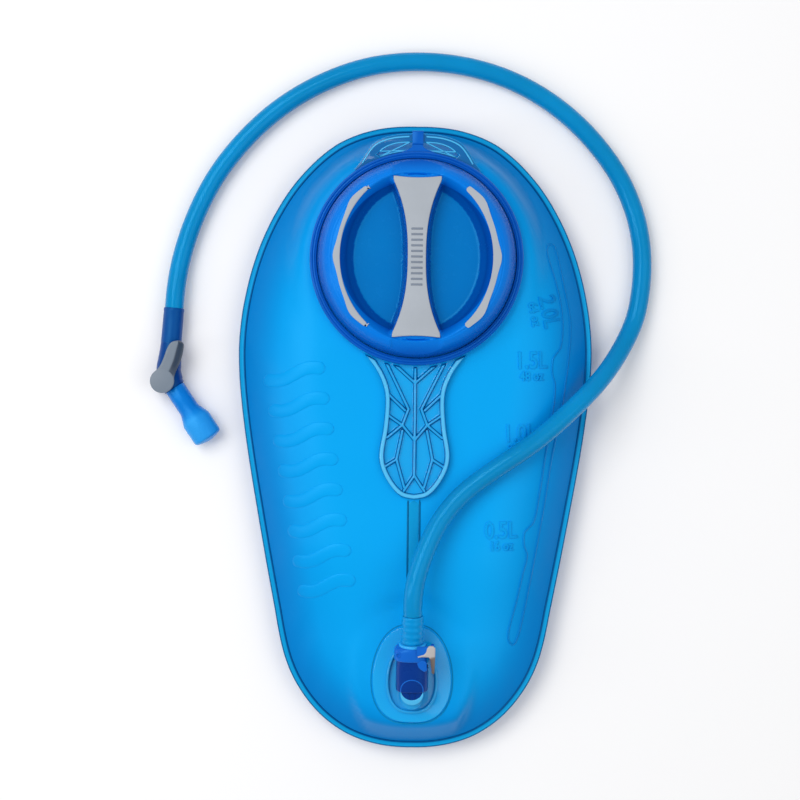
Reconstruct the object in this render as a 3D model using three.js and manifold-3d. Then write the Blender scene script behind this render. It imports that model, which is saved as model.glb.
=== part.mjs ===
// A hydration bladder: a flat water bag with a screw cap, a drink outlet, a hose and a bite valve.
// It lies on its back. X is to its right, Y points to the cap's end and Z is up, in millimetres.
// The origin is under the middle of the bag, on the surface that the bag lies on.

import * as THREE from 'three';
import { mergeVertices } from 'three/addons/utils/BufferGeometryUtils.js';
import Module from 'manifold-3d';

const wasm = await Module();
wasm.setup();

// ---------------------------------------------------------------- driving dimensions

const gap = 0.3;                 // clearance between pieces that touch
const halfTurn = Math.PI;
const fullTurn = 2 * Math.PI;

const bagHalfLength = 172.5;
const bagHalfWidth = 98;
const bagHeight = 34;            // top of the front film where the bag is full
const lowEnd = -112;             // the front film falls to the outlet's height between these
const fullEnd = -58;
const filmThickness = 0.6;
const seamWidth = 3.3;           // flat welded band around the bag
const rimTop = 12.8;             // front film's upper side at the seam
const frontRun = 45;             // how far in from the seam the front film keeps rising
const backRun = 18;              // how far in from the seam the back film reaches the floor
const steepestRise = 1.65;       // of the front film beside the neck and the outlet

const capY = 97.6;               // centre of the neck and cap
const neckInner = 45.5;
const neckOuter = 48.5;
const neckTop = 47;
const flangeRadius = 58.5;
const flangeBottom = bagHeight + gap;
const flangeTop = flangeBottom + 2;
const threadLead = 8;            // two starts, so the ridges are half of this apart
const threadTip = 50.3;
const threadBottom = 38.6;       // middle of each ridge where it starts
const capThreadStart = 0.35;     // angle from the neck's ridge to the cap's
const skirtInner = 50.8;
const skirtOuter = 54;
const capTop = 55;
const plugRadius = 44.8;
const pocketFloor = 44;
const handleHalfLength = 43.3;
const handleHalfEnd = 13;
const handleHalfWaist = 4.95;

const portY = -130;              // centre of the outlet's weld flange
const portFilmTop = 27;          // front film's upper side under the outlet
const portTilt = THREE.MathUtils.degToRad(12);
const portOrigin = new THREE.Vector3(0, -127.5, 40);
const spigotRadius = 5;
const spigotTip = 14.2;
const socketRadius = 5.4;
const barrelStart = -9.6;
const collarStart = 8;
const collarEnd = 18.6;
const latchPlace = 12;           // middle of the latch plate along the connector
const hoseStart = 32.7;

const hoseRadius = 5.25;
const hoseBore = 3.25;
const floorHose = 5.4;           // hose centre where it lies on the floor

const valveZ = 7.2;              // centre line of the shut-off valve and bite valve
const sleeveEnd = new THREE.Vector3(-136.4, 50.9, valveZ);
const sleeveTurn = THREE.MathUtils.degToRad(-4.4);
const sleeveLength = 19.4;
const elbow = new THREE.Vector3(-136.9, 30, valveZ);
const outletTurn = THREE.MathUtils.degToRad(-145.5);
const corePivot = new THREE.Vector3(-140.3, 29.6, 0);
const barrelTop = 14.2;
const biteStart = 5;             // from the elbow to the bite valve's foot
const biteRadius = 5.7;
const nippleRadius = 3.6;

// ---------------------------------------------------------------- materials

function paint(color, roughness, metalness = 0, opacity = 1) {
  return new THREE.MeshStandardMaterial({ color, roughness, metalness, opacity, transparent: opacity < 1 });
}

const filmBlue = paint(0x159fea, 0.3, 0, 0.75);
const clearBlue = paint(0x9fdcf8, 0.12, 0, 0.4);
const capBlue = paint(0x0a6fd8, 0.35);
const gripGrey = paint(0x9ca5ad, 0.6);
const connectorBlue = paint(0x1c58b8, 0.35);
const hoseBlue = paint(0x2496d2, 0.2, 0, 0.7);
const cuffBlue = paint(0x0688c8, 0.3);
const siliconeBlue = paint(0x2f96ea, 0.4);
const buttonGrey = paint(0xb0bcc6, 0.45);
const sealBlack = paint(0x1b1c1e, 0.7);
const springSteel = paint(0xb9bdc0, 0.3, 1);

// ---------------------------------------------------------------- solid helpers

function signedVolume(geometry) {
  const position = geometry.attributes.position;
  const index = geometry.index;
  const a = new THREE.Vector3();
  const b = new THREE.Vector3();
  const c = new THREE.Vector3();
  let volume = 0;
  for (let i = 0; i < index.count; i += 3) {
    a.fromBufferAttribute(position, index.getX(i));
    b.fromBufferAttribute(position, index.getX(i + 1));
    c.fromBufferAttribute(position, index.getX(i + 2));
    volume += a.dot(b.cross(c)) / 6;
  }
  return volume;
}

// One closed body: shared corners merged, slivers dropped, faces turned outward.
function closed(geometry) {
  const bare = geometry.clone();
  bare.deleteAttribute('normal');
  bare.deleteAttribute('uv');
  const merged = mergeVertices(bare, 1e-4);
  const kept = [];
  for (let i = 0; i < merged.index.count; i += 3) {
    const corners = [merged.index.getX(i), merged.index.getX(i + 1), merged.index.getX(i + 2)];
    if (new Set(corners).size === 3) kept.push(...corners);
  }
  merged.setIndex(kept);
  if (signedVolume(merged) < 0) {
    for (let i = 0; i < kept.length; i += 3) [kept[i], kept[i + 1]] = [kept[i + 1], kept[i]];
    merged.setIndex(kept);
  }
  return merged;
}

function toSolid(geometry) {
  const body = closed(geometry);
  return new wasm.Manifold(new wasm.Mesh({
    numProp: 3,
    vertProperties: new Float32Array(body.attributes.position.array),
    triVerts: new Uint32Array(body.index.array),
  }));
}

function toGeometry(solid) {
  const mesh = solid.getMesh();
  const geometry = new THREE.BufferGeometry();
  geometry.setAttribute('position', new THREE.BufferAttribute(mesh.vertProperties, 3));
  geometry.setIndex(new THREE.BufferAttribute(mesh.triVerts, 1));
  geometry.computeVertexNormals();
  return geometry;
}

function join(geometries) {
  return geometries.map(toSolid).reduce((whole, next) => whole.add(next));
}

function cutAway(solid, geometries) {
  return geometries.map(toSolid).reduce((whole, next) => whole.subtract(next), solid);
}

// ---------------------------------------------------------------- shape helpers

// A ring or disc turned about Z from a profile of [radius, height].
function turnZ(profile, segments = 48) {
  return turnY(profile, segments).rotateX(halfTurn / 2);
}

// The same about Y, with the profile's second number along Y.
function turnY(profile, segments = 32) {
  const points = profile.map(([radius, along]) => new THREE.Vector2(radius, along));
  const onAxis = points[0].x === 0 && points[points.length - 1].x === 0;
  if (!onAxis) points.push(points[0].clone());
  return new THREE.LatheGeometry(points, segments);
}

function diskZ(radius, low, high, segments = 32) {
  return new THREE.CylinderGeometry(radius, radius, high - low, segments)
    .rotateX(halfTurn / 2)
    .translate(0, 0, (low + high) / 2);
}

function diskY(radius, low, high, segments = 32) {
  return new THREE.CylinderGeometry(radius, radius, high - low, segments).translate(0, (low + high) / 2, 0);
}

function block(lowX, highX, lowY, highY, lowZ, highZ) {
  return new THREE.BoxGeometry(highX - lowX, highY - lowY, highZ - lowZ)
    .translate((lowX + highX) / 2, (lowY + highY) / 2, (lowZ + highZ) / 2);
}

function shapeOf(points) {
  return new THREE.Shape(points.map(([x, y]) => new THREE.Vector2(x, y)));
}

// A flat outline in X and Y, raised from one height to another.
function raise(shape, low, high, curveSegments = 8) {
  return new THREE.ExtrudeGeometry(shape, { depth: high - low, bevelEnabled: false, curveSegments })
    .translate(0, 0, low);
}

// A flat outline in X and Z, drawn out along Y.
function drawOut(shape, low, high, curveSegments = 3) {
  return new THREE.ExtrudeGeometry(shape, { depth: high - low, bevelEnabled: false, curveSegments })
    .rotateX(-halfTurn / 2)
    .translate(0, low, 0);
}

function roundedRectangle(halfX, halfY, radius) {
  const shape = new THREE.Shape();
  shape.absarc(halfX - radius, halfY - radius, radius, 0, halfTurn / 2);
  shape.absarc(radius - halfX, halfY - radius, radius, halfTurn / 2, halfTurn);
  shape.absarc(radius - halfX, radius - halfY, radius, halfTurn, 1.5 * halfTurn);
  shape.absarc(halfX - radius, radius - halfY, radius, 1.5 * halfTurn, fullTurn);
  return shape;
}

// Two half circles with straight sides between them, along X.
function slotShape(leftCentre, rightCentre, radius, target = new THREE.Shape()) {
  target.absarc(rightCentre, 0, radius, -halfTurn / 2, halfTurn / 2);
  target.absarc(leftCentre, 0, radius, halfTurn / 2, 1.5 * halfTurn);
  return target;
}

// A band of even width along a line of points.
function bandShape(points, width) {
  const left = [];
  const right = [];
  points.forEach(([x, y], i) => {
    const before = points[Math.max(i - 1, 0)];
    const after = points[Math.min(i + 1, points.length - 1)];
    const run = Math.hypot(after[0] - before[0], after[1] - before[1]);
    const sideX = -(after[1] - before[1]) / run * width / 2;
    const sideY = (after[0] - before[0]) / run * width / 2;
    left.push([x + sideX, y + sideY]);
    right.unshift([x - sideX, y - sideY]);
  });
  return shapeOf([...left, ...right]);
}

function mirrored(points) {
  return points.map(([x, y]) => [-x, y]);
}

function smoothLine(points, count) {
  const curve = new THREE.SplineCurve(points.map(([x, y]) => new THREE.Vector2(x, y)));
  return curve.getSpacedPoints(count).map((point) => [point.x, point.y]);
}

// A body through sections with the same count of corners. Each end is closed by the faces given.
function joinSections(sections, endFaces) {
  const sides = sections[0].length;
  const last = sides * (sections.length - 1);
  const faces = endFaces.flatMap(([a, b, c]) => [a, c, b, last + a, last + b, last + c]);
  for (let i = 0; i < sections.length - 1; i += 1) {
    for (let side = 0; side < sides; side += 1) {
      const a = sides * i + side;
      const b = sides * i + (side + 1) % sides;
      faces.push(a, b, a + sides, b, b + sides, a + sides);
    }
  }
  const geometry = new THREE.BufferGeometry();
  geometry.setAttribute('position', new THREE.Float32BufferAttribute(sections.flat(2), 3));
  geometry.setIndex(faces);
  return geometry;
}

// A thread ridge wound about Z. Its foot and tip are radii, so a foot outside the tip points inward.
function threadRidge(foot, tip, bottom, startAngle, turns, steps) {
  const footHalf = 0.75;
  const tipHalf = 0.45;
  const sections = [];
  for (let i = 0; i <= steps; i += 1) {
    const angle = startAngle + turns * fullTurn * i / steps;
    const height = bottom + threadLead * turns * i / steps;
    const swell = Math.min(1, 0.3 + 0.35 * Math.min(i, steps - i));
    const crest = foot + (tip - foot) * swell;
    const profile = [[foot, -footHalf], [crest, -tipHalf], [crest, tipHalf], [foot, footHalf]];
    sections.push(profile.map(([radius, offset]) => (
      [radius * Math.cos(angle), radius * Math.sin(angle), height + offset]
    )));
  }
  return joinSections(sections, [[0, 1, 2], [0, 2, 3]]);
}

const whole = new THREE.Group();
const atPort = new THREE.Group();
atPort.position.copy(portOrigin);
atPort.rotation.x = portTilt;
whole.add(atPort);

function add(name, geometry, material, parent = whole) {
  const mesh = new THREE.Mesh(geometry, material);
  mesh.name = name;
  parent.add(mesh);
  return mesh;
}

// Moves a shape made in the outlet's tilted axes into the bladder's axes.
function intoBag(geometry) {
  return geometry.rotateX(portTilt).translate(portOrigin.x, portOrigin.y, portOrigin.z);
}

// ---------------------------------------------------------------- the bag's outline and heights

const outlineRight = [
  [0, bagHalfLength], [22, 170.8], [44, 162.6], [63, 146], [76, 128], [87.4, 104], [95, 76],
  [bagHalfWidth, 48], [95.4, 12], [87.4, -38], [76.5, -96], [71, -121.5], [63.7, -138],
  [50.6, -154.6], [34, -166], [16, -171.4], [0, -bagHalfLength],
];

// Evenly spaced points round the bag, clockwise from the middle of the top.
function bagOutline(count) {
  const ring = [...outlineRight, ...mirrored(outlineRight.slice(1, -1)).reverse()];
  const points = ring.map(([x, y]) => new THREE.Vector3(x, y, 0));
  const curve = new THREE.CatmullRomCurve3(points, true, 'centripetal');
  const right = [];
  for (let i = 0; i <= count / 2; i += 1) {
    const point = curve.getPointAt(i / count);
    right.push([i === 0 || i === count / 2 ? 0 : Math.min(point.x, bagHalfWidth), point.y]);
  }
  return [...right, ...mirrored(right.slice(1, -1)).reverse()];
}

const fineOutline = bagOutline(96);

function edgeDistance(x, y) {
  let nearest = Infinity;
  fineOutline.forEach(([ax, ay], i) => {
    const [bx, by] = fineOutline[(i + 1) % fineOutline.length];
    const along = ((x - ax) * (bx - ax) + (y - ay) * (by - ay)) / ((bx - ax) ** 2 + (by - ay) ** 2);
    const t = THREE.MathUtils.clamp(along, 0, 1);
    nearest = Math.min(nearest, Math.hypot(x - ax - t * (bx - ax), y - ay - t * (by - ay)));
  });
  return nearest;
}

function crown(t) {
  return 1 - (1 - Math.min(t, 1)) ** 2.2;
}

function mix(a, b, t) {
  return a + (b - a) * t;
}

// 1 nearer than the first distance, 0 beyond the second.
function fade(distance, near, far) {
  return 1 - THREE.MathUtils.smoothstep(distance, near, far);
}

// Height of the bag along its middle, lower at the outlet's end.
function fullHeight(y) {
  return mix(portFilmTop, bagHeight, THREE.MathUtils.smoothstep(y, lowEnd, fullEnd));
}

// Upper side of the front film: a pillow with flat places under the neck and under the outlet.
function frontTop(x, y) {
  const run = Math.max(0, edgeDistance(x, y) - seamWidth);
  const pillow = mix(rimTop, fullHeight(y), crown(run / frontRun));
  const underNeck = fade(Math.hypot(x, y - capY), flangeRadius + 1.5, flangeRadius + 14);
  const underPort = fade(Math.hypot(x / 21.4, (y - portY) / 26.4), 1.42, 1.75);
  const level = mix(mix(pillow, bagHeight, underNeck), portFilmTop, underPort);
  return Math.min(level, rimTop + steepestRise * run);
}

// Lower side of the back film, which lies on the floor inside its curved border.
function backBottom(x, y) {
  const run = Math.max(0, edgeDistance(x, y) - seamWidth);
  const rimBottom = rimTop - 2 * filmThickness - gap;
  return rimBottom * (1 - crown(run / backRun));
}

// A film over the whole bag: rings of points run from the outline to a spine along the middle.
function filmSheet(count, insets, lowerSide) {
  const spineEnd = 95;
  const columns = bagOutline(count).map(([x, y]) => {
    const spineY = THREE.MathUtils.clamp(y, -spineEnd, spineEnd);
    const reach = Math.hypot(x, y - spineY);
    const steps = [...insets.map((inset) => inset / reach), 1];
    return steps.map((t) => [x * (1 - t), mix(y, spineY, t)]);
  });
  const rings = insets.length + 1;
  const corners = [];
  for (const lift of [0, filmThickness]) {
    for (const column of columns) {
      for (const [x, y] of column) corners.push(x, y, lowerSide(x, y) + lift);
    }
  }
  const faces = [];
  const upper = count * rings;
  for (let i = 0; i < count; i += 1) {
    const next = (i + 1) % count;
    for (let j = 0; j < rings - 1; j += 1) {
      const [a, b, c, d] = [i * rings + j, i * rings + j + 1, next * rings + j + 1, next * rings + j];
      faces.push(a, b, c, a, c, d);
      faces.push(upper + a, upper + c, upper + b, upper + a, upper + d, upper + c);
    }
    faces.push(i * rings, next * rings, upper + next * rings);
    faces.push(i * rings, upper + next * rings, upper + i * rings);
  }
  const geometry = new THREE.BufferGeometry();
  geometry.setAttribute('position', new THREE.Float32BufferAttribute(corners, 3));
  geometry.setIndex(faces);
  return geometry;
}

// ---------------------------------------------------------------- films and baffle

const spoutY = -142.3;           // where the outlet goes down into the bag

function backFilm() {
  return closed(filmSheet(48, [0, seamWidth, 8, 14, 22], backBottom));
}

function frontFilm() {
  const sheet = filmSheet(76, [0, seamWidth, 8, 14, 22, 34, 52], (x, y) => frontTop(x, y) - filmThickness);
  const fillHole = diskZ(neckInner - 0.5, 20, 40, 48).translate(0, capY, 0);
  const spoutHole = diskZ(5.5, 20, 40, 24).translate(0, spoutY, 0);
  return toGeometry(cutAway(toSolid(sheet), [fillHole, spoutHole]));
}

// An I-shaped web welded to both films. Its upper edge follows the front film.
function centreBaffle() {
  const low = filmThickness + gap;
  const tab = 3.2;
  const web = 0.3;
  const thick = 0.6;
  const sections = [-77, -72, -67, -62, fullEnd, -35].map((y) => {
    const high = fullHeight(y) - filmThickness - 2 * gap;
    const foot = [[tab, low], [tab, low + thick], [web, low + thick]];
    const half = [...foot, [web, high - thick], [tab, high - thick], [tab, high]];
    return [...half, ...mirrored(half).reverse()].map(([x, z]) => [x, y, z]);
  });
  const end = sections[0].map(([x, , z]) => new THREE.Vector2(x, z));
  return closed(joinSections(sections, THREE.ShapeUtils.triangulateShape(end, [])));
}

// ---------------------------------------------------------------- the clear moulded neck

const railHeight = 3.7;
const ribHeight = 2.7;
const webHeight = 0.8;

const railRight = [
  [34, 53], [28, 47.4], [21.4, 39.2], [17.2, 31.5], [15.1, 24], [14.9, 15.6], [16.2, 2], [18, -9],
  [16.8, -16.6], [11.6, -26], [6.2, -30.9], [0, -32.2],
];

const ribsRight = [
  [[11.5, 40.1], [0, 29.8]], [[16.8, 42.6], [3.5, 15.6]], [[14, 23.1], [5.4, 14.9]],
  [[3.5, 15.6], [6.8, 6.8]], [[6.8, 6.8], [0, -1.3]], [[6.8, 6.8], [14.4, 12]], [[6.8, 6.8], [15, 0]],
  [[6.7, 3.7], [9.8, -11.9]], [[9.8, -11.9], [5.4, -27]], [[16, -15.9], [9.8, -11.9]],
  [[0, -20.7], [5.6, -29]],
];

// The hanger's outline above the flange, from its right foot to its left foot.
const hangerRight = [[34.6, 146.2], [30.9, 151], [28, 155.8], [23.4, 161.2], [13.5, 164.9], [0, 165.9]];
const windowRight = [[22.6, 154.2], [18.4, 157.9], [11.5, 160.6], [0, 161]];
const bandMiddle = 163.45;       // of the hanger's band, between window and top

function hangerShape() {
  const contour = smoothLine([...hangerRight, ...mirrored(hangerRight.slice(0, -1)).reverse()], 18);
  const inner = flangeRadius - 3;
  const foot = Math.atan2(hangerRight[0][1] - capY, hangerRight[0][0]);
  const shape = shapeOf(contour);
  shape.absarc(0, capY, inner, halfTurn - foot, foot, true);
  const window = smoothLine([...windowRight, ...mirrored(windowRight.slice(0, -1)).reverse()], 12);
  const hole = new THREE.Path(window.map(([x, y]) => new THREE.Vector2(x, y)));
  const innerAngle = Math.acos(20.5 / flangeRadius);
  hole.absarc(0, capY, flangeRadius, halfTurn - innerAngle, innerAngle, true);
  shape.holes.push(hole);
  return shape;
}

function fillCollar() {
  const low = flangeBottom;
  const neck = turnZ([
    [neckInner, low], [flangeRadius, low], [flangeRadius, flangeTop], [neckOuter, flangeTop],
    [neckOuter, neckTop], [neckInner, neckTop],
  ], 48).translate(0, capY, 0);
  const ridges = [0, halfTurn].map((start) => (
    threadRidge(neckOuter - gap, threadTip, threadBottom, start, 0.75, 18).translate(0, capY, 0)
  ));
  const railLine = smoothLine([...railRight, ...mirrored(railRight.slice(0, -1)).reverse()], 32);
  const web = raise(shapeOf(railLine), low, low + webHeight);
  const rail = raise(bandShape(railLine, 3), low, low + railHeight);
  const spine = raise(bandShape([[0, 41], [0, -20.7]], 2), low, low + ribHeight);
  const ribs = [...ribsRight, ...ribsRight.map(mirrored)].map((rib) => (
    raise(bandShape(rib, 2), low, low + ribHeight)
  ));
  const bore = diskZ(neckInner, low - 1, flangeTop, 48).translate(0, capY, 0);
  const ringRoom = diskZ(ringOuter + 0.8, flangeTop, neckTop, 56).translate(0, capY, 0);
  const tongue = cutAway(join([web, rail, spine, ...ribs]), [bore, ringRoom]);
  const hanger = raise(hangerShape(), low, flangeTop);
  return toGeometry(join([neck, ...ridges, hanger]).add(tongue));
}

// ---------------------------------------------------------------- the cap's strap

const ringInner = skirtOuter + 0.4;
const ringOuter = 58.2;
const ringBottom = 37;
const ringTop = 40.4;
const strapHalfWidth = 3;
const strapEnd = 159.2;

function tetherRing() {
  return closed(turnZ([
    [ringInner, ringBottom], [ringOuter, ringBottom], [ringOuter, ringTop], [ringInner, ringTop],
  ], 56).translate(0, capY, 0));
}

function tetherStrap() {
  return closed(block(-strapHalfWidth, strapHalfWidth, capY + ringOuter + gap, strapEnd, 36.9, 38.4));
}

// A closed loop round the hanger's band.
function tetherAnchor() {
  const wall = 1.1;
  const low = flangeBottom - gap;
  const high = flangeTop + gap;
  const halfInside = 2.8;
  const section = roundedRectangle(halfInside + wall, (high - low) / 2 + wall, 1);
  const inside = new THREE.Path();
  inside.moveTo(-halfInside, (low - high) / 2);
  inside.lineTo(-halfInside, (high - low) / 2);
  inside.lineTo(halfInside, (high - low) / 2);
  inside.lineTo(halfInside, (low - high) / 2);
  section.holes.push(inside);
  const settings = { depth: 2 * strapHalfWidth, bevelEnabled: false, curveSegments: 3 };
  const loop = new THREE.ExtrudeGeometry(section, settings);
  loop.rotateX(halfTurn / 2);
  loop.rotateZ(halfTurn / 2);
  return closed(loop.translate(-strapHalfWidth, bandMiddle, (low + high) / 2));
}

// ---------------------------------------------------------------- the cap

// Half the width of the handle at a place along it: a waist that flares to square ends.
function handleHalfWidth(y, extra) {
  const t = Math.min(Math.abs(y) / handleHalfLength, 1);
  return mix(handleHalfWaist, handleHalfEnd, t ** 2.4) + extra;
}

function handleShape(extra) {
  const right = [];
  const steps = 16;
  const reach = handleHalfLength + extra;
  for (let i = 0; i <= steps; i += 1) {
    const y = mix(-reach, reach, i / steps);
    right.push([handleHalfWidth(y, extra), y]);
  }
  return shapeOf([...right, ...mirrored(right).reverse()]);
}

const pocketX = 41;              // half axes of the pockets' rim
const pocketY = 46.3;

// Three soft lobes widen each grip arc.
function gripArc(side, extra) {
  const reach = THREE.MathUtils.degToRad(54.5) + extra / pocketX;
  const lobeHalf = THREE.MathUtils.degToRad(8);
  const lobePlaces = [-41, 0, 41].map(THREE.MathUtils.degToRad);
  const inner = [];
  const outer = [];
  const steps = 22;
  for (let i = 0; i <= steps; i += 1) {
    const angle = mix(-reach, reach, i / steps);
    const edge = 1 / Math.hypot(Math.cos(angle) / (pocketX + 0.4), Math.sin(angle) / (pocketY + 0.4));
    const lobes = lobePlaces.map((place) => Math.exp(-(((angle - place) / lobeHalf) ** 2)));
    const near = edge - extra;
    const far = edge + 2.3 + 1.5 * Math.max(...lobes) + extra;
    inner.push([side * near * Math.cos(angle), near * Math.sin(angle)]);
    outer.unshift([side * far * Math.cos(angle), far * Math.sin(angle)]);
  }
  return shapeOf([...inner, ...outer]);
}

const gripBottom = 52.6;
const gripTop = 55.2;
const padBottom = 53.2;

function capShell() {
  const roof = 48.8;
  const body = turnZ([
    [0, pocketFloor - 2], [plugRadius, pocketFloor - 2], [plugRadius, roof], [skirtInner, roof],
    [skirtInner, 37.3], [skirtOuter, 37.3], [skirtOuter, 41], [53.4, 46], [51, 50.5], [47.5, 53.8],
    [44, capTop], [41, 54.7], [0, 54.7],
  ], 44);
  const pocketTop = capTop + 1;
  const pocketCone = new THREE.CylinderGeometry(42.4, 34.4, pocketTop - pocketFloor, 40)
    .rotateX(halfTurn / 2)
    .scale(1, pocketY / pocketX, 1)
    .translate(0, 0, (pocketTop + pocketFloor) / 2);
  const bar = raise(handleShape(1), pocketFloor - 1, capTop + 2);
  const pockets = cutAway(toSolid(pocketCone), [bar]);
  const overHandle = raise(handleShape(gap), padBottom - gap, capTop + 2);
  const barTop = block(-20, 20, -40, 40, padBottom - gap, capTop + 2);
  const underHandle = raise(handleShape(-2), pocketFloor - 3, 50.5);
  const gripSeats = [-1, 1].map((side) => raise(gripArc(side, gap), gripBottom - gap, capTop + 2));
  const insideWaist = toSolid(underHandle).intersect(toSolid(block(-12, 12, -34, 34, 40, 51)));
  const capRidgeBottom = threadBottom + threadLead * (capThreadStart / fullTurn + 0.25);
  const ridges = [0, halfTurn].map((start) => (
    threadRidge(skirtInner + gap, 49.1, capRidgeBottom, start + capThreadStart, 0.45, 14)
  ));
  const hollowed = cutAway(toSolid(body).subtract(pockets).subtract(insideWaist), [overHandle, ...gripSeats]);
  const trimmed = hollowed.subtract(toSolid(barTop).intersect(toSolid(pocketCone)));
  return toGeometry(trimmed.add(join(ridges)));
}

function capGasket() {
  return closed(turnZ([[45.4, 47.3], [48.9, 47.3], [48.9, 48.5], [45.4, 48.5]], 40));
}

// ---------------------------------------------------------------- outlet on the bag

const baseBottom = portFilmTop + gap;
const baseTop = baseBottom + 1.4;

// A rounded egg shape with long straight flanks, narrower toward the cap.
function eggShape(halfX, halfY, taper, target = new THREE.Shape()) {
  const points = [];
  const steps = 32;
  for (let i = 0; i < steps; i += 1) {
    const angle = fullTurn * i / steps;
    const across = Math.sign(Math.sin(angle)) * Math.abs(Math.sin(angle)) ** 0.75;
    const x = -halfX * across * (1 - taper * Math.cos(angle));
    points.push(new THREE.Vector2(x, halfY * Math.cos(angle)));
  }
  target.setFromPoints(points);
  return target;
}

function portBase() {
  const flange = raise(eggShape(21.4, 26.35, 0.1), baseBottom, baseTop).translate(0, portY, 0);
  const trayOutline = eggShape(14.1, 19.1, 0.08);
  trayOutline.holes.push(eggShape(12.5, 17.5, 0.08, new THREE.Path()));
  const tray = raise(trayOutline, baseTop - 0.4, 31.2).translate(0, portY - 2, 0);
  const hole = diskZ(4, 20, 35, 24).translate(0, spoutY, 0);
  return toGeometry(cutAway(join([flange, tray]), [hole]));
}

function portSpigot() {
  const orings = [3.9, 6.1];
  const latchGroove = [10.6, 13.4];
  const seat = 12.6;
  const springSeat = -2.5;
  const wide = 3.2;
  const narrow = 2.2;
  const foot = -12;
  const turn = -15.1;            // where the flow turns down into the bag
  const hubMiddle = -10.5;
  const tube = turnY([
    [0, foot], [spigotRadius, foot], [spigotRadius, orings[0]], [4.1, orings[0]], [4.1, orings[1]],
    [spigotRadius, orings[1]], [spigotRadius, latchGroove[0]], [4.2, latchGroove[0]],
    [4.2, latchGroove[1]], [4.7, latchGroove[1]], [4.7, spigotTip], [0, spigotTip],
  ], 20);
  const hubShape = new THREE.Shape().absarc(0, hubMiddle, 6, -halfTurn, 0);
  hubShape.lineTo(6, barrelStart - gap);
  hubShape.lineTo(-6, barrelStart - gap);
  const hub = raise(hubShape, -5.2, 5.2);
  const legTop = 38;
  const leg = diskZ(5, baseTop + gap, legTop, 20).translate(0, spoutY, 0);
  const spout = diskZ(3.5, 24.5, baseTop + 1, 20).translate(0, spoutY, 0);
  const chamber = turnY([
    [0, turn], [narrow, turn], [narrow, springSeat], [wide, springSeat], [wide, seat],
    [narrow, seat], [narrow, spigotTip + 1], [0, spigotTip + 1],
  ], 16);
  const downBore = diskZ(narrow, 24, 37, 16).translate(0, spoutY, 0);
  const body = join([intoBag(tube), intoBag(hub), leg, spout]);
  return toGeometry(cutAway(body, [intoBag(chamber), downBore]));
}

function ringSeal(middle, wire, place) {
  return closed(new THREE.TorusGeometry(middle, wire, 5, 18).rotateX(halfTurn / 2).translate(0, place, 0));
}

function checkValvePoppet() {
  return closed(turnY([
    [0, -1.5], [1, -1.5], [1, 6.6], [2.7, 6.8], [2.7, 8.3], [1.6, 8.3], [1.4, 9.3], [0, 9.3],
  ], 16));
}

function checkValveSpring() {
  const turns = 3;
  const low = -2;
  const high = 6.1;
  const points = [];
  const stepsInTurn = 9;
  for (let i = 0; i <= turns * stepsInTurn; i += 1) {
    const angle = fullTurn * i / stepsInTurn;
    const along = mix(low, high, i / (turns * stepsInTurn));
    points.push(new THREE.Vector3(2.4 * Math.cos(angle), along, 2.4 * Math.sin(angle)));
  }
  const wire = new THREE.Shape().absarc(0, 0, 0.28, 0, fullTurn);
  const path = new THREE.CatmullRomCurve3(points);
  const settings = { steps: turns * stepsInTurn, extrudePath: path, curveSegments: 3 };
  return closed(new THREE.ExtrudeGeometry(wire, settings));
}

// ---------------------------------------------------------------- quick connector

function connectorHousing() {
  const recess = 7.8;
  const barrel = drawOut(roundedRectangle(8.8, 7, 6.4), barrelStart, collarStart + 0.5);
  const collar = drawOut(roundedRectangle(9.9, 8, 5.5), collarStart, collarEnd);
  const barb = turnY([
    [0, collarEnd - 1], [3, collarEnd - 1], [3, 22], [3.4, 22], [3, 25], [3.4, 25], [2.7, 28],
    [2.7, 34.5], [0, 34.5],
  ], 20);
  const socket = diskY(socketRadius, barrelStart - 1, 15.2, 24);
  const throat = diskY(2, 15, 38, 16);
  const slotHalf = 1.2;
  const plateSlot = drawOut(slotShape(-2.1, 12, 7), latchPlace - slotHalf, latchPlace + slotHalf);
  const buttonRecess = block(recess, 14, 3.8, 18, -6, 9);
  const pinHole = new THREE.CylinderGeometry(1.1, 1.1, 4, 16)
    .rotateZ(halfTurn / 2)
    .translate(-9.5, latchPlace, 0);
  const crossbar = block(-5.6, 5.6, 14.5, 15.4, -0.6, 0.6);
  const pusher = diskY(1.1, 9.6, 15.4, 12);
  const shell = cutAway(join([barrel, collar, barb]), [socket, throat, plateSlot, buttonRecess, pinHole]);
  return toGeometry(shell.add(join([crossbar, pusher])));
}

// A plate with a long hole round the spigot, and the L-shaped head that a thumb presses.
function latchButton() {
  const outline = slotShape(-0.2, 1.6, 6.7);
  outline.holes.push(slotShape(0.05, 2.05, 5.35, new THREE.Path()));
  const plate = drawOut(outline, latchPlace - 0.9, latchPlace + 0.9);
  const neck = block(7.7, 10.4, latchPlace - 0.9, latchPlace + 0.9, -3.5, 3.5);
  const head = block(10.1, 11.9, 4.2, 14.6, -5.5, 9.5);
  const arm = block(2.4, 11.9, 12.4, 17.6, 8.3, 9.5);
  return toGeometry(join([plate, neck, head, arm]));
}

function latchSpring() {
  const leaf = [];
  for (let i = 0; i <= 10; i += 1) {
    const z = mix(-3, 3, i / 10);
    leaf.push([-8.05 + 0.75 * Math.cos(halfTurn * z / 6), z]);
  }
  return closed(drawOut(bandShape(leaf, 0.25), latchPlace - 0.7, latchPlace + 0.7));
}

function lowerCuff() {
  const low = collarEnd + gap;
  const high = hoseStart - gap;
  return closed(turnY([[3.7, low], [5.9, low], [5.9, high - 1], [5.6, high], [3.7, high]], 24));
}

// ---------------------------------------------------------------- hose

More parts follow.
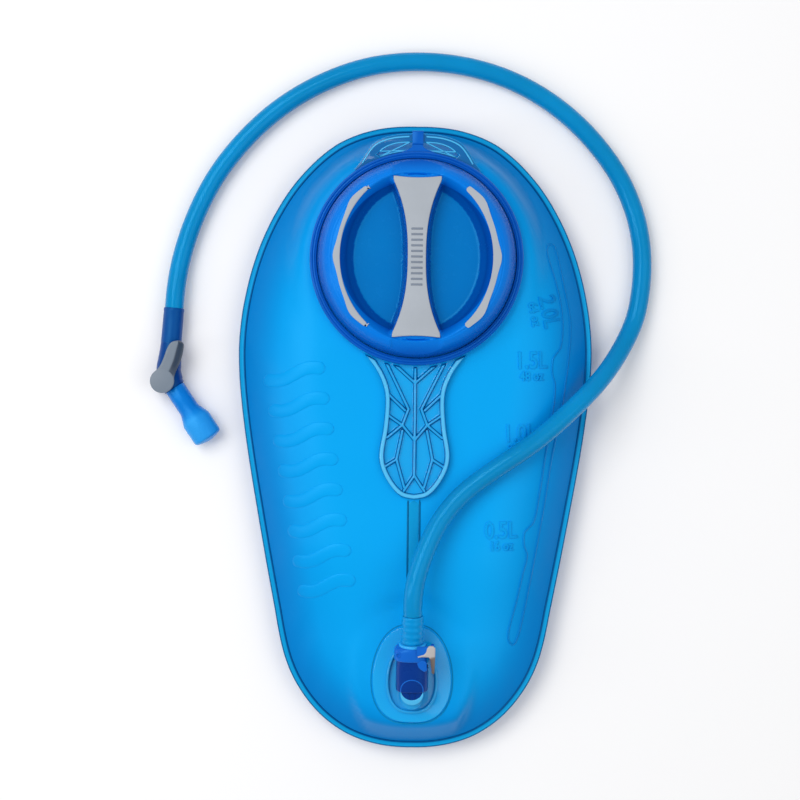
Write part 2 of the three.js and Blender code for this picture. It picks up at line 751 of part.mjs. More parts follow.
// Along the connector's axis, over the bag, down to the floor and round the cap's end of the bag.
function hoseRoute() {
  const alongPort = (distance) => intoBagPoint(new THREE.Vector3(0, distance, 0));
  const alongSleeve = (distance) => new THREE.Vector3(0, distance, 0)
    .applyAxisAngle(new THREE.Vector3(0, 0, 1), sleeveTurn)
    .add(sleeveEnd);
  const middle = [
    [1.2, -78, 48.6], [7.4, -59, 46], [14.8, -44.4, 42.6], [25, -31.8, 40.4], [36, -22.5, 39.8],
    [49.3, -13.1, 39.7], [62.8, -3.7, 38.8], [74.3, 5.6, 36.4], [83.9, 14.4, 33], [92.8, 22.8, 28.7],
    [100.4, 30.8, 23.9], [106.8, 38.6, 18.8], [112.5, 46.9, 13.6], [117.4, 55.4, 9.4],
    [121.4, 64, 6.8], [124.2, 73.5, 5.6], [126.2, 89, floorHose], [126, 106, floorHose],
    [122.3, 125, floorHose], [113, 146.5, floorHose], [97.5, 167.4, floorHose], [79.5, 184, floorHose],
    [58, 197.2, floorHose], [33, 206.1, floorHose], [4, 209.8, floorHose], [-25, 207.3, floorHose],
    [-51, 198.6, floorHose], [-76, 184, floorHose], [-97, 164.8, floorHose], [-114, 142, floorHose],
    [-126, 116, floorHose], [-132, 95, 5.6],
  ].map((place) => new THREE.Vector3(...place));
  return [
    alongPort(hoseStart), alongPort(hoseStart + 6), ...middle,
    alongSleeve(sleeveLength + 10), alongSleeve(sleeveLength + gap),
  ];
}

function intoBagPoint(point) {
  return point.applyAxisAngle(new THREE.Vector3(1, 0, 0), portTilt).add(portOrigin);
}

function drinkHose() {
  const section = new THREE.Shape().absarc(0, 0, hoseRadius, 0, fullTurn);
  section.holes.push(new THREE.Path().absarc(0, 0, hoseBore, 0, fullTurn));
  const path = new THREE.CatmullRomCurve3(hoseRoute(), false, 'centripetal');
  return closed(new THREE.ExtrudeGeometry(section, { steps: 36, extrudePath: path, curveSegments: 5 }));
}

// ---------------------------------------------------------------- shut-off valve and bite valve

const flowBore = 1.7;
const coreRadius = 5;
const cavityRadius = 5.3;

function atSleeve(geometry) {
  return geometry.rotateZ(sleeveTurn).translate(sleeveEnd.x, sleeveEnd.y, sleeveEnd.z);
}

function atOutlet(geometry) {
  return geometry.rotateZ(outletTurn).translate(elbow.x, elbow.y, elbow.z);
}

function atCore(geometry) {
  return geometry.translate(corePivot.x, corePivot.y, 0);
}

function flowPath(radius) {
  const inlet = atSleeve(diskY(radius, -20.9, 27, 14));
  const outlet = atOutlet(diskY(radius, 0, 24, 14));
  const corner = new THREE.SphereGeometry(radius, 8, 6).translate(elbow.x, elbow.y, elbow.z);
  return [inlet, outlet, corner];
}

function upperSleeve() {
  return closed(atSleeve(turnY([
    [3.3, gap], [5.7, gap], [5.7, sleeveLength - 1], [5.5, sleeveLength], [3.3, sleeveLength],
  ], 20)));
}

function valveBody() {
  const inlet = atSleeve(turnY([
    [0, -20.9], [6.9, -20.9], [6.8, -12], [5.9, -4], [5.7, 0], [2.9, 0], [2.7, 21.5], [0, 21.5],
  ], 20));
  const bend = new THREE.SphereGeometry(6.9, 20, 10).translate(elbow.x, elbow.y, elbow.z);
  const outlet = atOutlet(turnY([
    [0, 0], [6.6, 0], [6.2, biteStart - gap], [nippleRadius, biteStart - gap],
    [nippleRadius, 19.5], [0, 19.5],
  ], 20));
  const barrel = atCore(diskZ(6.5, 0.4, barrelTop, 28));
  const biteRoom = atOutlet(turnY([
    [nippleRadius, biteStart - gap], [8, biteStart - gap], [8, 12], [nippleRadius, 12],
  ], 24));
  const cavity = atCore(diskZ(cavityRadius, 2.2, barrelTop + 1, 24));
  const above = atCore(block(-8, 8, -8, 8, barrelTop, 20));
  const body = join([inlet, bend, outlet, barrel]);
  return toGeometry(cutAway(body, [cavity, above, biteRoom, ...flowPath(flowBore)]));
}

function valveCore() {
  const body = atCore(turnZ([
    [0, 2.5], [coreRadius, 2.5], [coreRadius, 3.3], [4.1, 3.3], [4.1, 4.7], [coreRadius, 4.7],
    [coreRadius, 11.4], [4.1, 11.4], [4.1, 12.8], [coreRadius, 12.8], [coreRadius, 13.8], [0, 13.8],
  ], 24));
  const socket = atCore(block(-1.8, 1.8, -1.8, 1.8, 10.9, 15));
  return toGeometry(cutAway(toSolid(body), [socket, ...flowPath(flowBore)]));
}

function coreSeal(height) {
  return closed(atCore(new THREE.TorusGeometry(4.72, 0.42, 5, 18).translate(0, 0, height)));
}

// Seen from above: a disc over the core and an arm that widens along the sleeve.
function shutoffLever() {
  const low = barrelTop + gap;
  const high = 16.9;
  const disc = atCore(diskZ(6.7, low, high, 28));
  const arm = smoothLine([
    [-145.5, 33.6], [-141.8, 37.6], [-139.4, 43], [-137.2, 48.8], [-134.6, 51.6], [-131, 52.2],
    [-128.9, 51.2], [-128.8, 47.5], [-130.2, 41.5], [-132.6, 35.5], [-134.6, 31],
  ], 26);
  const paddle = raise(shapeOf([...arm, [-139, 28]]), low, high);
  const lip = raise(shapeOf([[-130.3, 44], [-128.8, 46.5], [-128.9, 51.2], [-130, 51.9]]), 13.3, low + 0.5);
  const peg = atCore(block(-1.5, 1.5, -1.5, 1.5, 11.3, low + 0.5));
  return toGeometry(join([disc, paddle, lip, peg]));
}

// A silicone sleeve with a wide oval mouthpiece, flatter than it is wide, closed at its tip.
function biteValve() {
  const geometry = turnY([
    [3.9, biteStart], [biteRadius, biteStart], [biteRadius, 19.8], [6.6, 22.4], [8.25, 26.2], [8.25, 37.4],
    [7.4, 38.8], [4.2, 39.9], [0, 40.3], [0, 38.4], [5.8, 37.6], [6.3, 27], [4.6, 23.4], [3.9, 22.6],
  ], 24);
  const position = geometry.attributes.position;
  for (let i = 0; i < position.count; i += 1) {
    const flat = THREE.MathUtils.smoothstep(position.getY(i), 19.8, 26.2);
    position.setZ(i, position.getZ(i) * mix(1, 0.78, flat));
  }
  return closed(atOutlet(geometry));
}

// ---------------------------------------------------------------- the assembly

add('back_film', backFilm(), filmBlue);
add('front_film', frontFilm(), filmBlue);
add('centre_baffle', centreBaffle(), filmBlue);
add('fill_collar', fillCollar(), clearBlue);
add('tether_anchor', tetherAnchor(), capBlue);
add('tether_strap', tetherStrap(), capBlue);
add('tether_ring', tetherRing(), capBlue);
add('port_base', portBase(), clearBlue);
add('port_spigot', portSpigot(), connectorBlue);

const atCap = new THREE.Group();
atCap.position.y = capY;
whole.add(atCap);
add('cap_shell', capShell(), capBlue, atCap);
add('cap_handle_grip', closed(raise(handleShape(0), padBottom, 54.8)), gripGrey, atCap);
add('cap_grip_left', closed(raise(gripArc(-1, 0), gripBottom, gripTop)), gripGrey, atCap);
add('cap_grip_right', closed(raise(gripArc(1, 0), gripBottom, gripTop)), gripGrey, atCap);
add('cap_gasket', capGasket(), sealBlack, atCap);

add('spigot_oring', ringSeal(4.68, 0.42, 5), sealBlack, atPort);
add('check_valve_poppet', checkValvePoppet(), gripGrey, atPort);
add('poppet_seal', ringSeal(2.45, 0.42, 8.8), sealBlack, atPort);
add('check_valve_spring', checkValveSpring(), springSteel, atPort);
add('connector_housing', connectorHousing(), connectorBlue, atPort);
add('latch_button', latchButton(), buttonGrey, atPort);
add('latch_spring', latchSpring(), springSteel, atPort);
add('hose_cuff_lower', lowerCuff(), cuffBlue, atPort);

add('drink_hose', drinkHose(), hoseBlue);
add('hose_cuff_upper', upperSleeve(), connectorBlue);
add('shutoff_valve_body', valveBody(), connectorBlue);
add('valve_core', valveCore(), gripGrey);
add('core_oring_bottom', coreSeal(4), sealBlack);
add('core_oring_top', coreSeal(12.1), sealBlack);
add('shutoff_lever', shutoffLever(), gripGrey);
add('bite_valve', biteValve(), siliconeBlue);

export default whole;
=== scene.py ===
"""Looks of a hydration bladder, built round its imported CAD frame.

Shapes are worked out in millimetres, in the frame's axes (X to the bag's right, Y towards the cap,
Z up), and become metres when a mesh is made. The first values repeat the CAD's driving dimensions.
"""

import math

import bmesh
import bpy
import numpy as np
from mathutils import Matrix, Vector


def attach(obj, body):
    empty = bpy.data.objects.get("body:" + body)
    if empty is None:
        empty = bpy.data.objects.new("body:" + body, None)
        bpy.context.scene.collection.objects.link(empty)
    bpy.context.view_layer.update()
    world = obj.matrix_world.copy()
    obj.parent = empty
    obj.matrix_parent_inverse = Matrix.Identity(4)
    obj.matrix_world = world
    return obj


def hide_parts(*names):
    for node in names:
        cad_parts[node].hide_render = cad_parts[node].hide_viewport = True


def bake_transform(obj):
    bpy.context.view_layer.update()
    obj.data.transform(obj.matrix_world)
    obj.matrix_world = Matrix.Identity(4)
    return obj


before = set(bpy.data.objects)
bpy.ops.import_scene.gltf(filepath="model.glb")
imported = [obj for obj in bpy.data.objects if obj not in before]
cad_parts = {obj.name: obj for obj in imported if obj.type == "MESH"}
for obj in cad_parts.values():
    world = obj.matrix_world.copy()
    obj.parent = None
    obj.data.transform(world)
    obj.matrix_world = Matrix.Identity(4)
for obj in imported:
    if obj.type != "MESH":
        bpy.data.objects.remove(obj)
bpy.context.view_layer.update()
scene = bpy.context.scene

MM = 0.001
TURN = 2 * math.pi
LETTER_RISE = 0.55
LETTER_WIDTH = 0.8

# ---------------------------------------------------------------- dimensions shared with the CAD

BAG_HALF_LENGTH = 172.5
BAG_HALF_WIDTH = 98
BAG_HEIGHT = 34
LOW_END = -112
FULL_END = -58
FILM = 0.6
SEAM_WIDTH = 3.3
RIM_TOP = 12.8
RIM_BOTTOM = 11.3
FRONT_RUN = 45
BACK_RUN = 18
STEEPEST_RISE = 1.65
OUTLET_RISE = 1.25

CAP_Y = 97.6
NECK_INNER = 45.5
NECK_OUTER = 48.5
NECK_TOP = 47
FLANGE_RADIUS = 58.5
FLANGE_BOTTOM = 34.3
FLANGE_TOP = 36.3
THREAD_LEAD = 8
THREAD_TIP = 50.3
THREAD_BOTTOM = 38.6
SKIRT_INNER = 50.8
SKIRT_OUTER = 54
SKIRT_BOTTOM = 37.3
PLUG_RADIUS = 44.8
POCKET_FLOOR = 44
POCKET_X = 41
POCKET_Y = 46.3
RING_INNER = 54.4
RING_OUTER = 58.2
RING_BOTTOM = 37
RING_TOP = 40.4
STRAP_Z = 37.6

PORT_Y = -130
PORT_FILM_TOP = 27
PORT_TILT = math.radians(12)
PORT_ORIGIN = (0, -127.5, 40)
BASE_BOTTOM = 27.3
BASE_TOP = 28.7
SPOUT_Y = -142.3
RECESS_X = 7.75
HOSE_START = 32.7

HOSE_RADIUS = 5.25
HOSE_BORE = 3.25
FLOOR_HOSE = 5.4

VALVE_Z = 7.2
SLEEVE_END = (-136.4, 50.9, VALVE_Z)
SLEEVE_TURN = math.radians(-4.4)
SLEEVE_LENGTH = 19.4
ELBOW = (-136.9, 30, VALVE_Z)
OUTLET_TURN = math.radians(-145.5)
CORE_PIVOT = (-140.3, 29.6)
BARREL_TOP = 14.2
BITE_START = 5

# ---------------------------------------------------------------- camera

camera_data = bpy.data.cameras.new("camera")
camera_data.lens = 97.04
camera_data.clip_end = 20
camera = bpy.data.objects.new("camera", camera_data)
camera.location = (-0.0082, 0.0205, 1.212)
camera.rotation_euler = (0, 0, math.radians(0.64))
scene.collection.objects.link(camera)
scene.camera = camera


# ---------------------------------------------------------------- number helpers

def smoothstep(value, low, high):
    t = np.clip((value - low) / (high - low), 0, 1)
    return t * t * (3 - 2 * t)


def mix(a, b, t):
    return a + (b - a) * t


def soft_min(a, b, reach):
    """The smaller of two heights, with a fillet of about that reach where they cross."""
    h = np.clip(0.5 + 0.5 * (b - a) / reach, 0, 1)
    return mix(b, a, h) - reach * h * (1 - h)


def soft_max(a, b, reach):
    return -soft_min(-a, -b, reach)


def mirrored(points):
    return [(-x, y) for x, y in points]


def both_sides(right):
    """A closed outline from its right half, which starts and ends on the Y axis."""
    return list(right) + mirrored(right[1:-1])[::-1]


def smooth_line(points, count, closed=False):
    """Evenly spaced points along a centripetal Catmull-Rom curve."""
    knots = np.array(points, float)
    if closed:
        padded = np.vstack([knots[-1:], knots, knots[:2]])
    else:
        padded = np.vstack([2 * knots[0] - knots[1], knots, 2 * knots[-1] - knots[-2]])
    dense = []
    for four in zip(padded, padded[1:], padded[2:], padded[3:]):
        gaps = [math.sqrt(np.linalg.norm(four[i + 1] - four[i])) for i in range(3)]
        times = np.cumsum([0, *gaps])
        t = np.linspace(times[1], times[2], 24, endpoint=False)[:, None]
        level = list(four)
        for depth in (1, 2, 3):
            spans = list(zip(times, times[depth:], level, level[1:]))[:4 - depth]
            level = [(a * (end - t) + b * (t - start)) / (end - start) for start, end, a, b in spans]
        dense.append(level[0])
    dense = np.vstack([*dense, padded[-2:-1]])
    return spaced(dense, count, closed)


def spaced(line, count, closed=False):
    """Evenly spaced points along a polyline."""
    line = np.array(line, float)
    steps = np.linalg.norm(np.diff(line, axis=0), axis=1)
    along = np.concatenate([[0], np.cumsum(steps)])
    wanted = np.linspace(0, along[-1], count, endpoint=not closed)
    return np.column_stack([np.interp(wanted, along, line[:, i]) for i in range(line.shape[1])])


def line_length(line):
    return float(np.linalg.norm(np.diff(np.array(line, float), axis=0), axis=1).sum())


def distance_to_segments(x, y, segments):
    """Distance from each place to the nearest of several straight segments."""
    places = np.column_stack([np.ravel(x), np.ravel(y)])
    nearest = np.full(len(places), np.inf)
    for a, b in segments:
        t = np.clip((places - a) @ (b - a) / (b - a).dot(b - a), 0, 1)
        nearest = np.minimum(nearest, np.linalg.norm(places - a - t[:, None] * (b - a), axis=1))
    return nearest.reshape(np.shape(x))


# ---------------------------------------------------------------- placing helpers

def moved(points, by):
    return np.asarray(points, float) + np.array(by, float)


def turned_x(points, angle):
    x, y, z = np.asarray(points, float).T
    c, s = math.cos(angle), math.sin(angle)
    return np.column_stack([x, y * c - z * s, y * s + z * c])


def turned_z(points, angle):
    x, y, z = np.asarray(points, float).T
    c, s = math.cos(angle), math.sin(angle)
    return np.column_stack([x * c - y * s, x * s + y * c, z])


def at_port(points):
    return moved(turned_x(points, PORT_TILT), PORT_ORIGIN)


def at_cap(points):
    return moved(points, (0, CAP_Y, 0))


def at_sleeve(points):
    return moved(turned_z(points, SLEEVE_TURN), SLEEVE_END)


def at_outlet(points):
    return moved(turned_z(points, OUTLET_TURN), ELBOW)


def at_core(points):
    return moved(points, (*CORE_PIVOT, 0))


def placed(shape, place):
    points, faces = shape
    return place(points), faces


# ---------------------------------------------------------------- shape helpers

def joined(*shapes):
    """Several (points, faces) as one."""
    points, faces, start = [], [], 0
    for shape_points, shape_faces in shapes:
        points.append(np.asarray(shape_points, float))
        faces += [tuple(start + i for i in face) for face in shape_faces]
        start += len(shape_points)
    return np.vstack(points), faces


def loft(rings, wrap=False, cap=False):
    """Faces between closed rings of points, each with the same count."""
    rings = np.array(rings, float)
    count, sides = rings.shape[:2]
    faces = []
    for i in range(count if wrap else count - 1):
        here, after = i * sides, (i + 1) % count * sides
        for j in range(sides):
            k = (j + 1) % sides
            faces.append((here + j, here + k, after + k, after + j))
    if cap:
        faces.append(tuple(range(sides))[::-1])
        faces.append(tuple((count - 1) * sides + j for j in range(sides)))
    return rings.reshape(-1, 3), faces


def rounded(points, radius, steps=3, closed=True):
    """A profile with each corner rounded."""
    points = np.array(points, float)
    made = []
    for i, corner in enumerate(points):
        if not closed and i in (0, len(points) - 1):
            made.append(corner)
            continue
        before = points[i - 1] - corner
        after = points[(i + 1) % len(points)] - corner
        before_length, after_length = np.linalg.norm(before), np.linalg.norm(after)
        reach = min(radius, before_length * 0.45, after_length * 0.45)
        start = corner + before / before_length * reach
        end = corner + after / after_length * reach
        for t in np.linspace(0, 1, steps + 1):
            made.append((1 - t) ** 2 * start + 2 * t * (1 - t) * corner + t * t * end)
    return np.array(made)


def circle(radius, height, sides):
    """A ring of points round Z."""
    angles = np.linspace(0, TURN, sides, endpoint=False)
    return np.column_stack([radius * np.cos(angles), radius * np.sin(angles), np.full(sides, height)])


def lathe_z(profile, sides=96, wrap=True):
    """A profile of (radius, height) turned about Z."""
    return loft([circle(radius, height, sides) for radius, height in profile], wrap=wrap)


def lathe_y(profile, sides=48, wrap=True):
    """A profile of (radius, place along Y) turned about Y."""
    points, faces = lathe_z(profile, sides, wrap)
    return np.column_stack([points[:, 0], points[:, 2], -points[:, 1]]), faces


def frames_along(path):
    """Two unit directions across a path at each point, turning as little as they can."""
    path = np.array(path, float)
    tangents = np.gradient(path, axis=0)
    tangents /= np.linalg.norm(tangents, axis=1)[:, None]
    side = np.cross(tangents[0], (0, 0, 1))
    side /= np.linalg.norm(side)
    sides = []
    for tangent in tangents:
        side = side - tangent * side.dot(tangent)
        side /= np.linalg.norm(side)
        sides.append(side)
    sides = np.array(sides)
    return sides, np.cross(sides, tangents)


def tube_rings(path, radii, sides=28):
    """Rings round a path. Radii is one number, or one for each point."""
    across, up = frames_along(path)
    radii = np.broadcast_to(np.asarray(radii, float), len(path))
    angles = np.linspace(0, TURN, sides, endpoint=False)
    return [
        centre + r * (np.outer(np.cos(angles), a) + np.outer(np.sin(angles), b))
        for centre, r, a, b in zip(np.array(path, float), radii, across, up)
    ]


def from_curve(curve, middle):
    """The mesh of a flat curve or text as (points, faces), raised to a height."""
    holder = bpy.data.objects.new("outline", curve)
    scene.collection.objects.link(holder)
    graph = bpy.context.evaluated_depsgraph_get()
    mesh = bpy.data.meshes.new_from_object(holder.evaluated_get(graph))
    points = np.array([v.co for v in mesh.vertices], float).reshape(-1, 3)
    faces = [tuple(face.vertices) for face in mesh.polygons]
    bpy.data.objects.remove(holder)
    bpy.data.curves.remove(curve)
    bpy.data.meshes.remove(mesh)
    return moved(points, (0, 0, middle)), faces


def plate(outlines, low, high, edge=0.3, steps=2):
    """A flat shape with rounded edges between two heights. The outlines after the first are holes."""
    curve = bpy.data.curves.new("outline", "CURVE")
    curve.dimensions = "2D"
    curve.fill_mode = "BOTH"
    curve.extrude = (high - low) / 2 - edge
    curve.bevel_depth = edge
    curve.bevel_resolution = steps
    curve.offset = -edge
    for outline in outlines:
        spline = curve.splines.new("POLY")
        spline.points.add(len(outline) - 1)
        spline.use_cyclic_u = True
        for point, (x, y) in zip(spline.points, outline):
            point.co = (x, y, 0, 1)
    return from_curve(curve, (low + high) / 2)


def lettering(text, height):
    """Narrow upright figures centred on the origin, raised from the XY plane."""
    curve = bpy.data.curves.new("figures", "FONT")
    curve.body = text
    curve.size = height * 1.4
    curve.align_x = "CENTER"
    curve.align_y = "CENTER"
    curve.extrude = LETTER_RISE
    curve.bevel_depth = 0.12
    curve.offset = 0.1
    curve.resolution_u = 4
    points, faces = from_curve(curve, 0)
    points[:, 0] *= LETTER_WIDTH
    return points, faces


def piece(name, shape, material, body, replaces=(), tint_and_shade=None, crease=38):
    """A Blender object from (points, faces) in millimetres that rides on a CAD body, if one is named."""
    points, faces = shape
    mesh = bpy.data.meshes.new(name)
    mesh.from_pydata((np.asarray(points) * MM).tolist(), [], [list(face) for face in faces])
    # the tint attribute carries painted shade and painted highlight for most pieces
    if tint_and_shade is not None:
        attribute = mesh.attributes.new("tint_and_shade", "FLOAT", "POINT")
        attribute.data.foreach_set("value", np.asarray(tint_and_shade, np.float32))
    work = bmesh.new()
    work.from_mesh(mesh)
    bmesh.ops.remove_doubles(work, verts=work.verts, dist=2e-6)
    bmesh.ops.recalc_face_normals(work, faces=work.faces)
    work.to_mesh(mesh)
    work.free()
    mesh.shade_smooth()
    mesh.set_sharp_from_angle(angle=math.radians(crease))
    mesh.materials.append(material)
    made = bpy.data.objects.new(name, mesh)
    scene.collection.objects.link(made)
    if body:
        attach(made, body)
    if replaces:
        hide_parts(*replaces)
    return made


# ---------------------------------------------------------------- material helpers

def srgb(red, green, blue):
    """Linear colour from one given as 0 to 255."""
    shares = [value / 255 for value in (red, green, blue)]
    return (*[s / 12.92 if s <= 0.04045 else ((s + 0.055) / 1.055) ** 2.4 for s in shares], 1.0)


def new_material(name, roughness, **settings):
    """A material with one Principled shader. Settings are socket names with _ for spaces."""
    material = bpy.data.materials.new(name)
    material.use_nodes = True
    shader = material.node_tree.nodes["Principled BSDF"]
    shader.inputs["Roughness"].default_value = roughness
    for key, value in settings.items():
        shader.inputs[key.replace("_", " ")].default_value = value
    return material


def noise(material, scale, detail):
    """Noise in the frame's own metres, as a node. Scale is repeats per metre."""
    nodes = material.node_tree.nodes
    place = nodes.new("ShaderNodeTexCoord")
    grain = nodes.new("ShaderNodeTexNoise")
    grain.inputs["Scale"].default_value = scale
    grain.inputs["Detail"].default_value = detail
    material.node_tree.links.new(place.outputs["Object"], grain.inputs["Vector"])
    return grain


def ramp(material, source, stops):
    """A colour ramp from (place, colour) stops, fed by a socket."""
    node = material.node_tree.nodes.new("ShaderNodeValToRGB")
    elements = node.color_ramp.elements
    while len(elements) < len(stops):
        elements.new(0.5)
    for element, (place, colour) in zip(elements, stops):
        element.position = place
        element.color = colour
    material.node_tree.links.new(source, node.inputs["Fac"])
    return node.outputs["Color"]


def shaded(colour, factor):
    return (*[min(1, c * factor) for c in colour[:3]], 1.0)


def colour_by_noise(material, colour, spread, scale):
    """Slow drift of a colour, from a little darker to a little lighter."""
    grain = noise(material, scale, 3)
    stops = [(0.3, shaded(colour, 1 - spread)), (0.7, shaded(colour, 1 + spread))]
    return ramp(material, grain.outputs["Fac"], stops)


def colour_by_tint_and_shade(material, stops):
    """A ramp over the mesh's own tint attribute; in most parts it carries painted shade and painted
    highlight.
    """
    attribute = material.node_tree.nodes.new("ShaderNodeAttribute")
    attribute.attribute_name = "tint_and_shade"
    return ramp(material, attribute.outputs["Fac"], stops)


def paint(material, colour_socket):
    shader = material.node_tree.nodes["Principled BSDF"]
    material.node_tree.links.new(colour_socket, shader.inputs["Base Color"])


def paint_drifting(material, colour_socket, darkest, scale, detail=3):
    """Paints with a colour that slow noise multiplies by anything from the darkest factor to 1."""
    grain = noise(material, scale, detail)
    drift = ramp(material, grain.outputs["Fac"], [(0.3, (*darkest, 1)), (0.7, (1, 1, 1, 1))])
    product = material.node_tree.nodes.new("ShaderNodeMix")
    product.data_type = "RGBA"
    product.blend_type = "MULTIPLY"
    product.inputs["Factor"].default_value = 1
    material.node_tree.links.new(colour_socket, product.inputs["A"])
    material.node_tree.links.new(drift, product.inputs["B"])
    paint(material, product.outputs["Result"])


def roughen(material, low, high, scale):
    """Roughness that wanders between two values."""
    nodes, links = material.node_tree.nodes, material.node_tree.links
    grain = noise(material, scale, 5)
    spread = nodes.new("ShaderNodeMapRange")
    spread.inputs["To Min"].default_value = low
    spread.inputs["To Max"].default_value = high
    links.new(grain.outputs["Fac"], spread.inputs["Value"])
    links.new(spread.outputs["Result"], nodes["Principled BSDF"].inputs["Roughness"])


def bump(material, layers):
    """Bump from noise layers of (scale, depth in metres, detail)."""
    nodes, links = material.node_tree.nodes, material.node_tree.links
    normal = None
    for scale, depth, detail in layers:
        grain = noise(material, scale, detail)
        node = nodes.new("ShaderNodeBump")
        node.inputs["Strength"].default_value = 1
        node.inputs["Distance"].default_value = depth
        links.new(grain.outputs["Fac"], node.inputs["Height"])
        if normal:
            links.new(normal, node.inputs["Normal"])
        normal = node.outputs["Normal"]
    links.new(normal, nodes["Principled BSDF"].inputs["Normal"])


def plain_plastic(name, colour, roughness, spread=0.06, grain=(900, 0.00003), **settings):
    """Moulded plastic or rubber: slow colour drift, a fine moulded grain and uneven gloss."""
    material = new_material(name, roughness, **settings)
    paint(material, colour_by_noise(material, colour, spread, 60))
    roughen(material, roughness * 0.85, min(1, roughness * 1.2), 120)
    bump(material, [(*grain, 3)])
    return material


# ---------------------------------------------------------------- materials

BLUE_GLOSS = (0.15, 0.65, 1, 1)  # reflections that keep the blue of the plastic under them


def film_material():
    """Blue polyurethane film, with painted shade: paler where the bag is full and darker down its sides."""
    material = new_material("film", 0.3, Specular_IOR_Level=0.3, Specular_Tint=BLUE_GLOSS)
    by_place = colour_by_tint_and_shade(material, [
        (0.0, srgb(6, 166, 240)), (0.5, srgb(2, 154, 230)), (1.0, srgb(0, 124, 202)),
    ])
    paint_drifting(material, by_place, (0.9, 0.95, 0.97), 9, 2)
    roughen(material, 0.24, 0.38, 40)
    bump(material, [(14, 0.0012, 2), (1400, 0.00001, 2)])
    return material


def weld_material():
    """The welded edge: the two films pressed into one teal band, with painted shade as the darker lines
    along both its edges.
    """
    material = new_material("welded_film", 0.25, Specular_IOR_Level=0.3, Specular_Tint=BLUE_GLOSS)
    paint(material, colour_by_tint_and_shade(material, [
        (0.0, srgb(0, 56, 96)), (0.1, srgb(0, 84, 134)), (0.22, srgb(14, 156, 214)),
        (0.68, srgb(10, 148, 210)), (0.8, srgb(0, 84, 150)), (1.0, srgb(0, 62, 116)),
    ]))
    roughen(material, 0.2, 0.34, 200)
    bump(material, [(500, 0.00005, 2)])
    return material


def clear_material():
    """Clear moulded plastic on the blue film, with a painted highlight on its ridges and painted shade at
    their feet.
    """
    material = new_material("clear_moulding", 0.1, Transmission_Weight=0.06, IOR=1.4)
    by_height = colour_by_tint_and_shade(material, [
        (0.0, srgb(4, 172, 242)), (0.08, srgb(4, 168, 238)), (0.22, srgb(0, 84, 154)),
        (0.62, srgb(2, 98, 170)), (0.84, srgb(34, 170, 236)), (1.0, srgb(84, 194, 244)),
    ])
    paint_drifting(material, by_height, (0.93, 0.96, 0.98), 40)
    bump(material, [(220, 0.00002, 2)])
    return material


def cap_material():
    """Glossy blue cap plastic with painted shade, darker down the sides of its pockets and its outer side,
    and painted light on the crest.
    """
    material = new_material("cap_plastic", 0.26, Specular_IOR_Level=0.35, Specular_Tint=BLUE_GLOSS)
    by_place = colour_by_tint_and_shade(material, [
        (0.0, srgb(0, 116, 192)), (0.2, srgb(0, 84, 172)), (0.3, srgb(0, 66, 152)),
        (0.6, srgb(0, 84, 186)), (1.0, srgb(4, 122, 226)),
    ])
    paint_drifting(material, by_place, (0.92, 0.94, 0.97), 35, 2)
    roughen(material, 0.2, 0.32, 150)
    bump(material, [(700, 0.00003, 3)])
    return material


def hose_material():
    """Tinted clear hose: its colour deepens with the wall that it is seen through."""
    material = new_material("hose_tube", 0.12, Transmission_Weight=0.35, IOR=1.38, Specular_Tint=BLUE_GLOSS)
    paint(material, colour_by_noise(material, srgb(14, 162, 228), 0.08, 25))
    bump(material, [(120, 0.00004, 2)])
    nodes, links = material.node_tree.nodes, material.node_tree.links
    wall = nodes.new("ShaderNodeVolumeAbsorption")
    wall.inputs["Color"].default_value = (0.0, 0.55, 0.84, 1)
    wall.inputs["Density"].default_value = 260
    links.new(wall.outputs["Volume"], nodes["Material Output"].inputs["Volume"])
    return material


def lever_material():
    """Grey moulded plastic, with painted shade darker on the side that is bent down."""
    material = new_material("lever_plastic", 0.34, Specular_IOR_Level=0.3)
    by_place = colour_by_tint_and_shade(material, [(0.0, srgb(118, 130, 144)), (1.0, srgb(66, 78, 94))])
    paint_drifting(material, by_place, (0.93, 0.94, 0.95), 60)
    roughen(material, 0.28, 0.42, 120)
    bump(material, [(900, 0.00003, 3)])
    return material


def button_material():
    """Warm grey plastic, with painted shadow darker down the leg of the button."""
    material = new_material("button_plastic", 0.42)
    paint(material, colour_by_tint_and_shade(material, [
        (0.0, srgb(92, 84, 82)), (0.7, srgb(128, 116, 110)), (1.0, srgb(182, 178, 178)),
    ]))
    roughen(material, 0.36, 0.5, 120)
    bump(material, [(900, 0.00003, 3)])
    return material


def silicone_material():
    """Soft clear blue silicone, deeper along the stem than in the open mouth."""
    material = new_material("silicone", 0.26, Specular_Tint=BLUE_GLOSS)
    by_place = colour_by_tint_and_shade(material, [
        (0.0, srgb(4, 120, 212)), (0.5, srgb(16, 134, 222)), (1.0, srgb(44, 154, 234)),
    ])
    paint_drifting(material, by_place, (0.9, 0.93, 0.96), 90)
    roughen(material, 0.2, 0.34, 120)
    bump(material, [(300, 0.00004, 3)])
    return material


